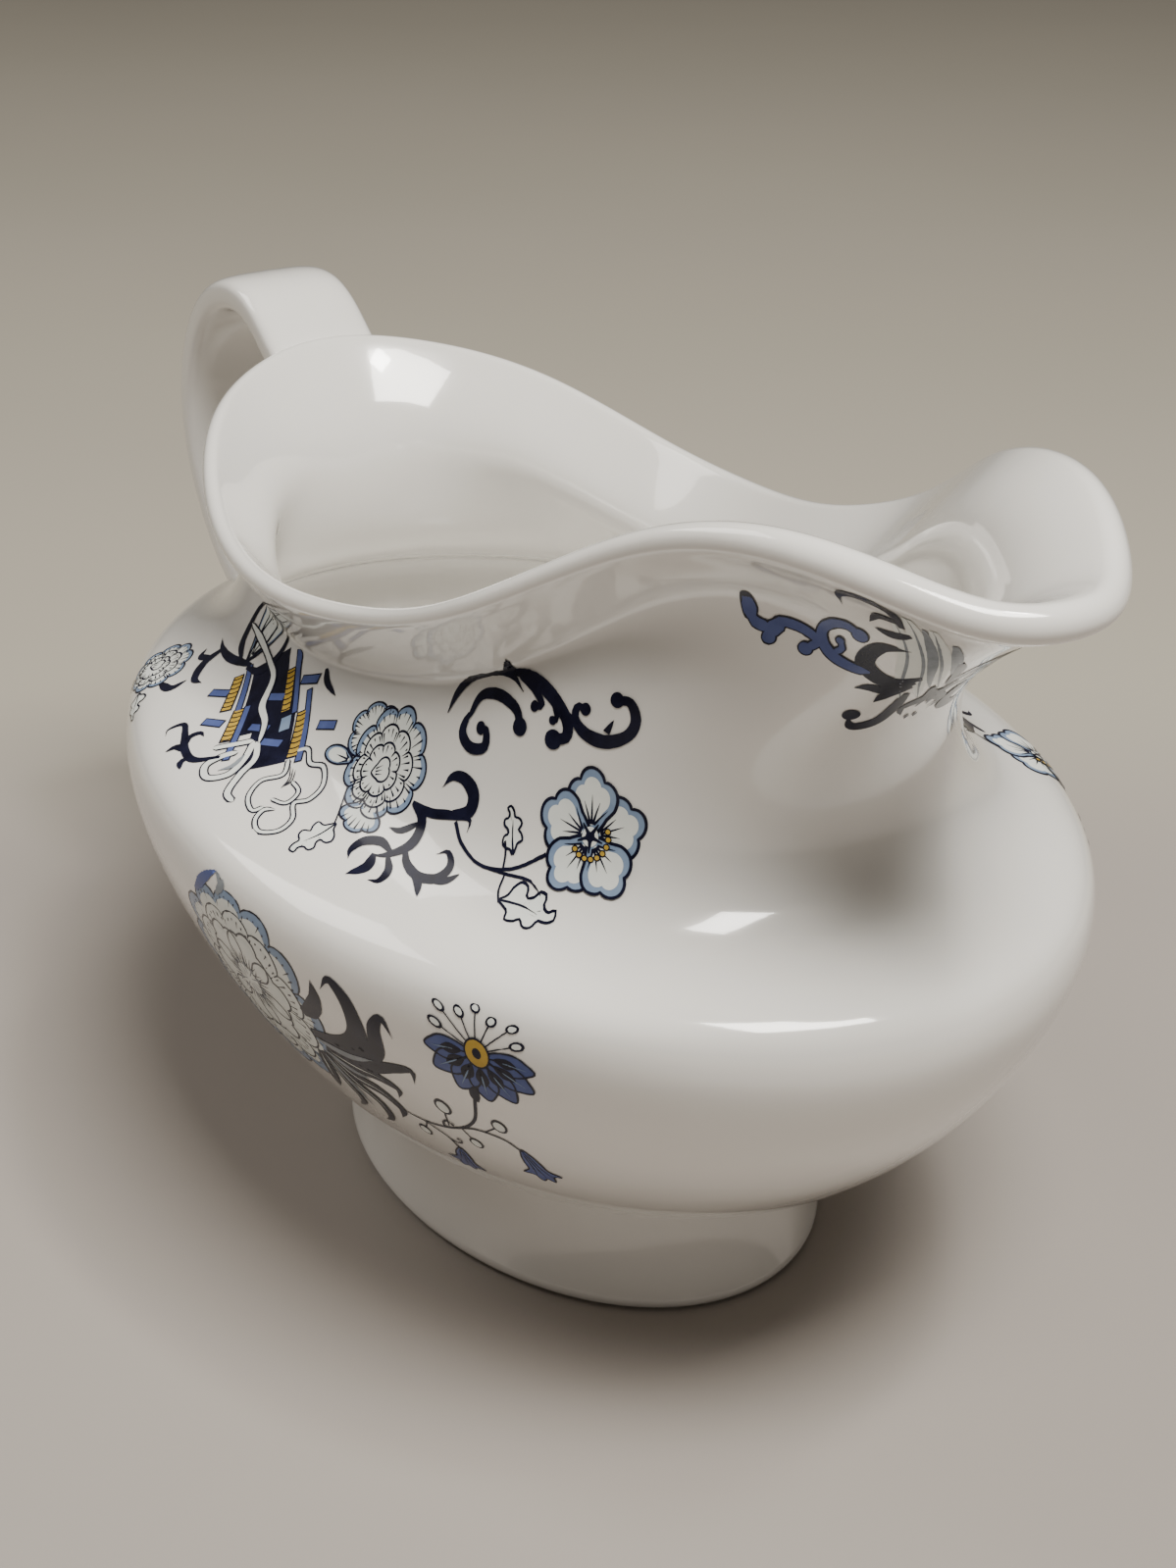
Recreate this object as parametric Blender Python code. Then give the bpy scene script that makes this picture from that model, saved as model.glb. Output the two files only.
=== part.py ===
"""Footed cream jug in glazed porcelain: an oval bowl with a tight rounded shoulder, a waisted neck
that opens into a swept rim and a long U-shaped pouring lip, an oval hollow foot, and a flat strap
handle from the rim to the bowl.  Millimetres in the dimensions, metres in the scene.
+X is the pouring lip, -X the handle, +Z up."""

import bmesh
import bpy
import numpy as np
from mathutils import Vector

MM = 0.001
OBJECT = "cream_jug"

# ---- driving dimensions, mm ------------------------------------------------------------------
FOOT_A, FOOT_B = 32.9, 23.1          # half length and half width of the foot on the table
FOOT_TOP_A, FOOT_TOP_B = 28.9, 20.5  # where the foot meets the bowl
FOOT_HEIGHT = 13.0
FOOT_WALL = 3.4
FOOT_EDGE = 1.2                      # rounding of the foot's resting edge
GAP = 0.3                            # clearance between neighbouring pieces

BOWL_RATIO = 0.705                   # width / length of the bowl's oval sections
BOWL_BASE_A = 28.2                   # bowl's half length where it leaves the foot
BOWL_BELLY = ((45.5, 14.2), (0.0, 38.0))   # pulls of the belly curve (half length, height)
SHOULDER_A = 62.0                    # greatest half length
SHOULDER_Z = 46.4                    # its height
SHOULDER_X = 0.4
SHOULDER_ROUND = (3.6, 4.8, 5.6)     # rise, set-in and height of the shoulder's rounding

NECK_BASE = (48.5, 29.5, -2.0, 55.4, 0.20)  # half length, half width, centre x, height, fullness: foot of the neck
NECK_WAIST = (48.0, 25.0, -1.5, 0.45, 0.28) # half length, half width, centre x, fraction of neck height, fullness

RIM_X, RIM_A = 6.9, 63.5             # centre and half length of the rim in plan
RIM_ANGLES = (0, 20, 40, 60, 75, 90, 105, 120, 140, 160, 180)      # from the lip round to the handle
RIM_WIDTH = (22.6, 21.4, 21.6, 22.6, 25.8, 26.4, 29.0, 31.2, 32.6, 33.2, 33.0)
RIM_HEIGHT = (89.2, 89.8, 92.2, 88.0, 78.8, 71.8, 68.6, 68.8, 73.0, 75.8, 77.0)
RIM_FLARE = (5.2, 3.9, 5.4)          # how the wall leans out under the rim: along x, along y, up
RIM_BEAD, LIP_BEAD = 1.0, 0.6        # half thickness of the rim, and what the lip adds to it
LIP_LEAN = (3.0, 1.0, -2.4)          # the lip leans out further
WALL_NECK, WALL_BOWL = 2.6, 3.2
FLOOR = 3.6

STRAP_WIDTH, STRAP_THICK = 13.4, 4.2
STRAP_PATH = ((-50.0, 69.2), (-57.0, 74.7), (-61.0, 78.0), (-65.4, 80.3), (-70.2, 80.6), (-75.4, 78.8),
              (-80.2, 74.8), (-83.4, 69.4), (-84.9, 63.0), (-84.3, 57.4), (-81.4, 50.9), (-75.8, 44.6),
              (-68.6, 40.9), (-60.6, 39.2), (-52.0, 38.4))
SLIP_R = 0.65                        # radius of the fired slip bead under the bowl
SLIP_REACH, SLIP_THICK = 1.2, 1.0    # collars of slip at the strap's two ends: up the body, along the strap

AROUND = 64
BOWL_ROWS, NECK_ROWS = 9, 16
STRAP_RINGS = 30


# ---- curves ----------------------------------------------------------------------------------
def even_spline(xs, ys, x):
    """Smooth curve through stations, level at both ends."""
    xs, ys, x = (np.asarray(v, float) for v in (xs, ys, x))
    n, h = len(xs), np.diff(xs)
    a, r = np.zeros((n, n)), np.zeros(n)
    a[0, 0] = a[-1, -1] = 1.0
    for i in range(1, n - 1):
        a[i, i - 1], a[i, i], a[i, i + 1] = 1 / h[i - 1], 2 / h[i - 1] + 2 / h[i], 1 / h[i]
        r[i] = 3 * ((ys[i] - ys[i - 1]) / h[i - 1] ** 2 + (ys[i + 1] - ys[i]) / h[i] ** 2)
    m = np.linalg.solve(a, r)
    k = np.clip(np.searchsorted(xs, x, side="right") - 1, 0, n - 2)
    t = (x - xs[k]) / h[k]
    return ((2 * t**3 - 3 * t**2 + 1) * ys[k] + (t**3 - 2 * t**2 + t) * h[k] * m[k]
            + (3 * t**2 - 2 * t**3) * ys[k + 1] + (t**3 - t**2) * h[k] * m[k + 1])


def cubic(p, s):
    p, s = np.asarray(p, float), np.asarray(s, float)[:, None]
    return (1 - s) ** 3 * p[0] + 3 * s * (1 - s) ** 2 * p[1] + 3 * s * s * (1 - s) * p[2] + s**3 * p[3]


def clamped_spline(points, s):
    """Clamped uniform cubic B-spline over rows of control points."""
    q = np.asarray(points, float)
    n, p = len(q), 3
    knots = np.r_[[0] * p, np.linspace(0, 1, n - p + 1), [1] * p]
    rows = []
    for u in s:
        u = min(max(u, 0.0), 1 - 1e-9)
        basis = np.array([1.0 if knots[i] <= u < knots[i + 1] else 0.0 for i in range(len(knots) - 1)])
        for d in range(1, p + 1):
            nxt = np.zeros(len(knots) - 1 - d)
            for i in range(len(nxt)):
                w0, w1 = knots[i + d] - knots[i], knots[i + d + 1] - knots[i + 1]
                nxt[i] = ((u - knots[i]) / w0 * basis[i] if w0 > 0 else 0) + (
                    (knots[i + d + 1] - u) / w1 * basis[i + 1] if w1 > 0 else 0)
            basis = nxt
        rows.append(np.tensordot(basis, q, 1))
    return np.array(rows)


def unit(v):
    return v / np.linalg.norm(v, axis=-1, keepdims=True)


# ---- the body's surfaces -----------------------------------------------------------------------
def rim_curve(t):
    back = np.degrees(np.abs((t + np.pi) % (2 * np.pi) - np.pi))
    return np.stack([RIM_X + RIM_A * np.cos(t), even_spline(RIM_ANGLES, RIM_WIDTH, back) * np.sin(t),
                     even_spline(RIM_ANGLES, RIM_HEIGHT, back)], -1)


def lip_share(t):
    """1 at the pouring lip, falling to 0 beside the crests of the rim."""
    f = np.clip((np.cos(t) - 0.35) / 0.5, 0, 1)
    return f * f * (3 - 2 * f)


def rim_bead(t):
    return (RIM_BEAD + LIP_BEAD * lip_share(t))[:, None]


def rim_lean(t):
    base = np.stack([RIM_FLARE[0] * np.cos(t), RIM_FLARE[1] * np.sin(t), RIM_FLARE[2] + 0 * t], -1)
    more = np.stack([LIP_LEAN[0] * np.cos(t), LIP_LEAN[1] * np.sin(t), LIP_LEAN[2] + 0 * t], -1)
    return base + more * lip_share(t)[:, None]


def rim_frame(t):
    """Centre of the rim's rounding, the wall's direction there, and the outward normal."""
    c = rim_curve(t)
    along = unit(rim_curve(t + 1e-3) - rim_curve(t - 1e-3))
    up = unit(rim_lean(t))
    up = unit(up - along * (up * along).sum(-1, keepdims=True))
    return c, up, np.cross(along, up)


def outer_rows(t):
    c, s = np.cos(t), np.sin(t)

    def oval(a, b, x, z, full=0.0):
        return np.stack([x + a * c, b * s * (1 + full * c * c), z + 0 * c], -1)

    belly = cubic([(BOWL_BASE_A, FOOT_HEIGHT), BOWL_BELLY[0], (SHOULDER_A, BOWL_BELLY[1][1]),
                   (SHOULDER_A, SHOULDER_Z)], np.linspace(0, 1, BOWL_ROWS))
    bowl = np.array([oval(a, BOWL_RATIO * a, SHOULDER_X, z) for a, z in belly])
    centre, up, out = rim_frame(t)
    top = centre + rim_bead(t) * out
    flare = np.linalg.norm(RIM_FLARE)
    rise, set_in, height = SHOULDER_ROUND
    b = BOWL_RATIO * SHOULDER_A
    an, bn, xn, zn, en = NECK_BASE
    aw, bw, xw, fw, ew = NECK_WAIST
    neck = clamped_spline([oval(SHOULDER_A, b, SHOULDER_X, SHOULDER_Z),
                           oval(SHOULDER_A, b, SHOULDER_X, SHOULDER_Z + rise),
                           oval(SHOULDER_A - set_in, b - set_in, SHOULDER_X, SHOULDER_Z + height),
                           oval(an, bn, xn, zn, en),
                           oval(aw, bw, xw, zn + fw * (centre[:, 2] - zn), ew),
                           top - flare * up, top], np.linspace(0, 1, NECK_ROWS))
    return np.concatenate([bowl[:-1], neck])


def row_normals(rows):
    around = np.roll(rows, -1, 1) - np.roll(rows, 1, 1)
    return unit(np.cross(around, np.gradient(rows, axis=0)))


def shrink(ring, steps, rise):
    """Rings closing an oval toward its middle, rising to a dome, then the pole."""
    mid = ring.mean(0)
    rings = []
    for k in range(1, steps):
        f = 1 - k / steps
        r = mid + (ring - mid) * f
        r[:, 2] = ring[:, 2] + rise * (1 - f * f)
        rings.append(r)
    pole = mid.copy()
    pole[2] = ring[:, 2].mean() + rise
    return rings, pole


# ---- meshes ------------------------------------------------------------------------------------
def tidy():
    for store in (bpy.data.objects, bpy.data.meshes, bpy.data.curves, bpy.data.materials):
        for item in list(store):
            store.remove(item)
    for item in list(bpy.data.collections):
        bpy.data.collections.remove(item)


def material(name, colour, roughness):
    mat = bpy.data.materials.new(name)
    mat.use_nodes = True
    shader = mat.node_tree.nodes["Principled BSDF"]
    shader.inputs["Base Color"].default_value = (*colour, 1.0)
    shader.inputs["Roughness"].default_value = roughness
    mat.diffuse_color = (*colour, 1.0)
    return mat


def make(name, bm, mat, collection, sharp=40.0):
    bmesh.ops.recalc_face_normals(bm, faces=bm.faces)
    mesh = bpy.data.meshes.new(name)
    bm.to_mesh(mesh)
    bm.free()
    for face in mesh.polygons:
        face.use_smooth = True
    mesh.set_sharp_from_angle(angle=np.radians(sharp))
    mesh.materials.append(mat)
    obj = bpy.data.objects.new(name, mesh)
    collection.objects.link(obj)
    return obj


def skin(rings, closed=False, poles=(None, None)):
    """A surface through rings of equal count; poles close its two ends, or closed joins them up."""
    bm = bmesh.new()
    rows = [[bm.verts.new(Vector(p) * MM) for p in ring] for ring in rings]
    n = len(rows[0])
    pairs = list(zip(rows, rows[1:])) + ([(rows[-1], rows[0])] if closed else [])
    for lo, hi in pairs:
        for i in range(n):
            j = (i + 1) % n
            bm.faces.new((lo[i], lo[j], hi[j], hi[i]))
    for row, pole in ((rows[0], poles[0]), (rows[-1], poles[1])):
        if pole is not None:
            top = bm.verts.new(Vector(pole) * MM)
            for i in range(n):
                bm.faces.new((row[i], row[(i + 1) % n], top))
    return bm


def body_rings():
    t = np.linspace(0, 2 * np.pi, AROUND, endpoint=False)
    outer = outer_rows(t)
    normal = row_normals(outer)
    centre, up, out = rim_frame(t)
    normal[-1] = out
    z = np.linspace(0, 1, len(outer))
    wall = np.array([np.interp(z, (0, 0.35, 0.55, 0.85, 1.0), (WALL_BOWL + 0.4, WALL_BOWL, WALL_BOWL, WALL_NECK, 2 * edge))
                     for edge in rim_bead(t)[:, 0]]).T
    inner = outer - normal * wall[..., None]
    lip = [centre + rim_bead(t) * (np.cos(a) * out + np.sin(a) * up) for a in np.radians((35, 90, 145))]
    under, under_pole = shrink(outer[0], 5, 1.2)
    start = inner[2].copy()
    floor_z = FOOT_HEIGHT + 1.2 + FLOOR
    floor, floor_pole = shrink(start, 6, floor_z - start[:, 2].mean())
    rings = list(reversed(under)) + list(outer) + lip + list(inner[:1:-1]) + floor
    return rings, under_pole, floor_pole


def foot_rings():
    t = np.linspace(0, 2 * np.pi, AROUND, endpoint=False)

    def oval(a, b, z):
        return np.stack([a * np.cos(t), b * np.sin(t), z + 0 * t], -1)

    top = FOOT_HEIGHT - GAP
    e = FOOT_EDGE
    profile = []
    for k in range(7):                                   # outside, a slight hollow flare to the table
        f = k / 6
        z = top + (e - top) * f
        bow = 0.5 * np.sin(np.pi * f)
        profile.append((FOOT_TOP_A + (FOOT_A - FOOT_TOP_A) * f - bow, FOOT_TOP_B + (FOOT_B - FOOT_TOP_B) * f - bow, z))
    a, b, _ = profile[-1]
    profile += [(a - 0.3 * e, b - 0.3 * e, 0.3 * e), (a - e, b - e, 0.0), (a - FOOT_WALL + 0.8, b - FOOT_WALL + 0.8, 0.0),
                (a - FOOT_WALL, b - FOOT_WALL, 0.8)]
    profile += [(FOOT_TOP_A - FOOT_WALL - 0.4, FOOT_TOP_B - FOOT_WALL - 0.4, top * 0.55),
                (FOOT_TOP_A - FOOT_WALL, FOOT_TOP_B - FOOT_WALL, top)]
    return [oval(*p) for p in profile]


def strap_frames():
    path = np.asarray(STRAP_PATH)
    dense = clamped_points(path, 400)
    length = np.r_[0, np.cumsum(np.linalg.norm(np.diff(dense, axis=0), axis=1))]
    at = np.linspace(0, length[-1], STRAP_RINGS)
    p = np.stack([np.interp(at, length, dense[:, k]) for k in (0, 1)], -1)
    d = unit(np.gradient(p, axis=0))
    return p, d, at / length[-1]


def clamped_points(path, count):
    """Curve through the stations (Catmull-Rom)."""
    ext = np.vstack([2 * path[0] - path[1], path, 2 * path[-1] - path[-2]])
    s = np.linspace(0, len(path) - 1 - 1e-9, count)
    k = s.astype(int)
    f = (s - k)[:, None]
    a, b, c, d = (ext[k + i] for i in range(4))
    return 0.5 * (2 * b + (c - a) * f + (2 * a - 5 * b + 4 * c - d) * f**2 + (3 * b - a - 3 * c + d) * f**3)


def strap_section():
    """Rounded flat section: (across, thickness) pairs."""
    w, h, r = STRAP_WIDTH / 2, STRAP_THICK / 2, STRAP_THICK * 0.42
    pts = []
    for cx, cy, a0 in ((w - r, h - r, 0), (-(w - r), h - r, 90), (-(w - r), -(h - r), 180), (w - r, -(h - r), 270)):
        for k in range(4):
            a = np.radians(a0 + 30 * k)
            pts.append((cx + r * np.cos(a), cy + r * np.sin(a) + (0.25 if cy > 0 else 0.0) * np.cos(a) ** 2 * 0))
    out = []
    for i, p in enumerate(pts):                            # middle stations on the two broad faces
        out.append(p)
        if i in (3, 11):
            q = pts[(i + 1) % len(pts)]
            for f in (0.25, 0.5, 0.75):
                out.append((p[0] + (q[0] - p[0]) * f, p[1] + (q[1] - p[1]) * f))
    return np.asarray(out)


def strap_ring(pos, direction, grow=0.0):
    side = np.array([direction[1], -direction[0]])         # away from the finger gap
    sec = strap_section() * (1 + 2 * grow / np.array([STRAP_WIDTH, STRAP_THICK]))
    return np.stack([pos[0] + sec[:, 1] * side[0], sec[:, 0], pos[1] + sec[:, 1] * side[1]], -1)


def strap_rings(grow=0.0, keep=(0.0, 1.0)):
    p, d, at = strap_frames()
    return [strap_ring(p[i], d[i], grow) for i in range(len(p)) if keep[0] <= at[i] <= keep[1]]


def filled_body(grow):
    """The body's outside as one solid plug, grown by a margin: what its neighbours must stay off."""
    t = np.linspace(0, 2 * np.pi, AROUND, endpoint=False)
    outer = outer_rows(t)
    normal = row_normals(outer)
    centre, up, out = rim_frame(t)
    normal[-1] = out
    outer = outer + normal * grow
    outer[0, :, 2] = FOOT_HEIGHT - grow
    lip = [centre + (rim_bead(t) + grow) * (np.cos(a) * out + np.sin(a) * up) for a in np.radians((25, 50, 75, 100, 125))]
    under, under_pole = shrink(outer[0], 3, 0.0)
    cap, cap_pole = shrink(lip[-1], 4, -1.0)
    return list(reversed(under)) + list(outer) + lip + cap, under_pole, cap_pole


def bead(path, radius, count=8):
    """A closed bead of slip along a loop."""
    path = np.asarray(path)
    along = unit(np.roll(path, -1, 0) - np.roll(path, 1, 0))
    mid = path.mean(0)
    out = path - mid
    out = unit(out - along * (out * along).sum(-1, keepdims=True))
    side = np.cross(along, out)
    return [path + radius * (np.cos(a) * out + np.sin(a) * side) for a in np.linspace(0, 2 * np.pi, count, endpoint=False)]


def main():
    tidy()
    jug = bpy.data.collections.new(OBJECT)
    bpy.context.scene.collection.children.link(jug)
    white = (0.86, 0.85, 0.82)
    clay = {k: material(k + "_glaze", white, 0.08) for k in ("body", "foot", "handle", "slip_foot", "slip_upper", "slip_lower")}

    rings, under_pole, floor_pole = body_rings()
    make("jug_body", skin(rings, poles=(under_pole, floor_pole)), clay["body"], jug, 50)
    make("oval_foot", skin(foot_rings(), closed=True), clay["foot"], jug, 50)

    cutters = bpy.data.collections.new(OBJECT + "_cutters")
    bpy.context.scene.collection.children.link(cutters)

    def plug(name, grow):
        rings, low, high = filled_body(grow)
        return make(name, skin(rings, poles=(low, high)), clay["body"], cutters)

    def strap(name, grow, keep, mat, collection):
        rings = strap_rings(grow, keep)
        return make(name, skin(rings, poles=(rings[0].mean(0), rings[-1].mean(0))), mat, collection, 50)

    near, far = plug("cut_body_near", GAP), plug("cut_body_far", GAP + SLIP_REACH)
    thin = strap("cut_strap", GAP, (0.0, 1.0), clay["body"], cutters)
    for obj in (near, far, thin):
        obj.hide_render = True
        obj.display_type = "WIRE"

    def cut(obj, *steps):
        for operation, other in steps:
            mod = obj.modifiers.new(operation.lower() + "_" + other.name, "BOOLEAN")
            mod.operation, mod.object, mod.solver = operation, other, "EXACT"

    handle = strap("strap_handle", 0.0, (0.0, 1.0), clay["handle"], jug)
    cut(handle, ("DIFFERENCE", near))
    for name, keep, mat in (("handle_upper_slip", (0.0, 0.5), "slip_upper"), ("handle_lower_slip", (0.5, 1.0), "slip_lower")):
        collar = strap(name, GAP + SLIP_THICK, keep, clay[mat], jug)
        cut(collar, ("INTERSECT", far), ("DIFFERENCE", near), ("DIFFERENCE", thin))

    t = np.linspace(0, 2 * np.pi, AROUND, endpoint=False)
    off = SLIP_R + GAP + 0.15
    loop = np.stack([(FOOT_TOP_A + off) * np.cos(t), (FOOT_TOP_B + off) * np.sin(t), FOOT_HEIGHT - 0.95 + 0 * t], -1)
    make("foot_slip", skin(bead(loop, SLIP_R), closed=True), clay["slip_foot"], jug, 60)

    whole = [v.co.x for name in ("jug_body", "strap_handle") for v in bpy.data.objects[name].data.vertices]
    middle = (min(whole) + max(whole)) / 2                  # the origin goes under the middle of the length
    for obj in list(jug.objects) + list(cutters.objects):
        for v in obj.data.vertices:
            v.co.x -= middle


main()
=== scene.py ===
import math
import bpy
import bmesh
import numpy as np
from mathutils import Matrix, Vector
from mathutils.bvhtree import BVHTree


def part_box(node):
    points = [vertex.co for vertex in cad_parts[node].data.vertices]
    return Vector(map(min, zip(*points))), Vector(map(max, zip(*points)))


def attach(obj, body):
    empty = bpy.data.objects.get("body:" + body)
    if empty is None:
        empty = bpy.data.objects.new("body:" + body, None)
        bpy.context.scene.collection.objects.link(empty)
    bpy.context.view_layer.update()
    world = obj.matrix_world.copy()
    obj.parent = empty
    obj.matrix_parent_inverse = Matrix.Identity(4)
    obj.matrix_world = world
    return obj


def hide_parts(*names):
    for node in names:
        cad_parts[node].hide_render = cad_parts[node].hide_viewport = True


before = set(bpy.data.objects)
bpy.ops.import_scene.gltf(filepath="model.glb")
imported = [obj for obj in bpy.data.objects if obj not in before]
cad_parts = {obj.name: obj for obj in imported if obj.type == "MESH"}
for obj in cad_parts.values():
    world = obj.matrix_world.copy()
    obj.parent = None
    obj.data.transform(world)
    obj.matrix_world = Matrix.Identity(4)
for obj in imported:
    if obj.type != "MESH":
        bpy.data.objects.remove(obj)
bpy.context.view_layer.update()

MM = 0.001
foot_lo, foot_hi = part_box("oval_foot")
SHIFT = (foot_lo.x + foot_hi.x) / 2 / MM            # the foot's middle along X, mm, in the row frame

# ------------------------------------------------------------------ the jug's form (mm, foot-centred)
FOOT_A, FOOT_B = 32.9, 23.1
FOOT_TOP_A, FOOT_TOP_B = 28.9, 20.5
FOOT_HEIGHT = 13.0
FOOT_WALL = 3.4
BOWL_RATIO = 0.705
BOWL_BASE_A = 28.2
BOWL_BELLY = ((45.5, 14.2), (0.0, 38.0))
SHOULDER_A, SHOULDER_Z, SHOULDER_X = 61.87, 46.4, 0.4
SHOULDER_ROUND = (3.9, 3.3, 5.5)
NECK_BASE = (48.5, 29.5, -2.0, 55.4, 0.20)
NECK_WAIST = (48.0, 25.0, -1.5, 0.45, 0.28)
RIM_X, RIM_A = 6.85, 63.42
RIM_ANGLES = (0, 20, 40, 60, 75, 90, 105, 120, 140, 160, 180)
RIM_WIDTH = (22.6, 21.4, 21.6, 22.6, 25.8, 26.4, 29.0, 31.2, 32.6, 33.2, 33.0)
RIM_HEIGHT = (89.2, 89.8, 92.15, 88.0, 78.8, 71.8, 68.6, 68.8, 73.0, 75.8, 77.0)
RIM_FLARE = (5.2, 3.9, 5.4)
RIM_BEAD, LIP_BEAD = 1.0, 0.6
LIP_LEAN = (3.0, 1.0, -2.4)
WALL_NECK, WALL_BOWL = 2.6, 3.2
FLOOR = 3.6
STRAP_WIDTH, STRAP_THICK = 13.4, 4.2
STRAP_PATH = ((-50.0, 69.2), (-57.0, 74.7), (-61.0, 78.0), (-65.4, 80.3), (-70.2, 80.6), (-75.4, 78.8),
              (-80.2, 74.8), (-83.4, 69.4), (-84.9, 63.0), (-84.3, 57.4), (-81.4, 50.9), (-75.8, 44.6),
              (-68.6, 40.9), (-60.6, 39.2), (-52.0, 38.4))


def even_spline(xs, ys, x):
    xs, ys, x = (np.asarray(v, float) for v in (xs, ys, x))
    n, h = len(xs), np.diff(xs)
    a, r = np.zeros((n, n)), np.zeros(n)
    a[0, 0] = a[-1, -1] = 1.0
    for i in range(1, n - 1):
        a[i, i - 1], a[i, i], a[i, i + 1] = 1 / h[i - 1], 2 / h[i - 1] + 2 / h[i], 1 / h[i]
        r[i] = 3 * ((ys[i] - ys[i - 1]) / h[i - 1] ** 2 + (ys[i + 1] - ys[i]) / h[i] ** 2)
    m = np.linalg.solve(a, r)
    k = np.clip(np.searchsorted(xs, x, side="right") - 1, 0, n - 2)
    t = (x - xs[k]) / h[k]
    return ((2 * t**3 - 3 * t**2 + 1) * ys[k] + (t**3 - 2 * t**2 + t) * h[k] * m[k]
            + (3 * t**2 - 2 * t**3) * ys[k + 1] + (t**3 - t**2) * h[k] * m[k + 1])


def cubic(p, s):
    p, s = np.asarray(p, float), np.asarray(s, float)[:, None]
    return (1 - s) ** 3 * p[0] + 3 * s * (1 - s) ** 2 * p[1] + 3 * s * s * (1 - s) * p[2] + s**3 * p[3]


def bspline_basis(n, s, p=3):
    knots = np.r_[[0] * p, np.linspace(0, 1, n - p + 1), [1] * p]
    out = []
    for u in s:
        u = min(max(u, 0.0), 1 - 1e-9)
        basis = np.array([1.0 if knots[i] <= u < knots[i + 1] else 0.0 for i in range(len(knots) - 1)])
        for d in range(1, p + 1):
            nxt = np.zeros(len(knots) - 1 - d)
            for i in range(len(nxt)):
                w0, w1 = knots[i + d] - knots[i], knots[i + d + 1] - knots[i + 1]
                nxt[i] = ((u - knots[i]) / w0 * basis[i] if w0 > 0 else 0) + (
                    (knots[i + d + 1] - u) / w1 * basis[i + 1] if w1 > 0 else 0)
            basis = nxt
        out.append(basis)
    return np.array(out)


def unit(v):
    return v / np.maximum(np.linalg.norm(v, axis=-1, keepdims=True), 1e-12)


def rim_curve(t):
    back = np.degrees(np.abs((t + np.pi) % (2 * np.pi) - np.pi))
    return np.stack([RIM_X + RIM_A * np.cos(t), even_spline(RIM_ANGLES, RIM_WIDTH, back) * np.sin(t),
                     even_spline(RIM_ANGLES, RIM_HEIGHT, back)], -1)


def lip_share(t):
    f = np.clip((np.cos(t) - 0.35) / 0.5, 0, 1)
    return f * f * (3 - 2 * f)


def rim_bead(t):
    return (RIM_BEAD + LIP_BEAD * lip_share(t))[:, None]


def rim_lean(t):
    base = np.stack([RIM_FLARE[0] * np.cos(t), RIM_FLARE[1] * np.sin(t), RIM_FLARE[2] + 0 * t], -1)
    more = np.stack([LIP_LEAN[0] * np.cos(t), LIP_LEAN[1] * np.sin(t), LIP_LEAN[2] + 0 * t], -1)
    return base + more * lip_share(t)[:, None]


def rim_frame(t):
    c = rim_curve(t)
    along = unit(rim_curve(t + 1e-3) - rim_curve(t - 1e-3))
    up = unit(rim_lean(t))
    up = unit(up - along * (up * along).sum(-1, keepdims=True))
    return c, up, np.cross(along, up)


def outer_rows(t, bowl_n, neck_n):
    """The jug's outside: rows from the foot up to the rim, columns round it."""
    c, s = np.cos(t), np.sin(t)

    def oval(a, b, x, z, full=0.0):
        return np.stack([x + a * c, b * s * (1 + full * c * c), z + 0 * c], -1)

    belly = cubic([(BOWL_BASE_A, FOOT_HEIGHT), BOWL_BELLY[0], (SHOULDER_A, BOWL_BELLY[1][1]),
                   (SHOULDER_A, SHOULDER_Z)], np.linspace(0, 1, bowl_n))
    bowl = np.array([oval(a, BOWL_RATIO * a, SHOULDER_X, z) for a, z in belly])
    centre, up, out = rim_frame(t)
    top = centre + rim_bead(t) * out
    flare = np.linalg.norm(RIM_FLARE)
    rise, set_in, height = SHOULDER_ROUND
    b = BOWL_RATIO * SHOULDER_A
    an, bn, xn, zn, en = NECK_BASE
    aw, bw, xw, fw, ew = NECK_WAIST
    q = np.array([oval(SHOULDER_A, b, SHOULDER_X, SHOULDER_Z), oval(SHOULDER_A, b, SHOULDER_X, SHOULDER_Z + rise),
                  oval(SHOULDER_A - set_in, b - set_in, SHOULDER_X, SHOULDER_Z + height), oval(an, bn, xn, zn, en),
                  oval(aw, bw, xw, zn + fw * (centre[:, 2] - zn), ew), top - flare * up, top])
    neck = np.tensordot(bspline_basis(7, np.linspace(0, 1, neck_n)), q, 1)
    return np.concatenate([bowl[:-1], neck])


def row_normals(rows):
    around = np.roll(rows, -1, 1) - np.roll(rows, 1, 1)
    return unit(np.cross(around, np.gradient(rows, axis=0)))


def shrink(ring, steps, rise):
    mid = ring.mean(0)
    rings = []
    for k in range(1, steps):
        f = 1 - k / steps
        r = mid + (ring - mid) * f
        r[:, 2] = ring[:, 2] + rise * (1 - f * f)
        rings.append(r)
    pole = mid.copy()
    pole[2] = ring[:, 2].mean() + rise
    return rings, pole


def new_object(name, mesh):
    obj = bpy.data.objects.new(name, mesh)
    bpy.context.scene.collection.objects.link(obj)
    return obj


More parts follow.
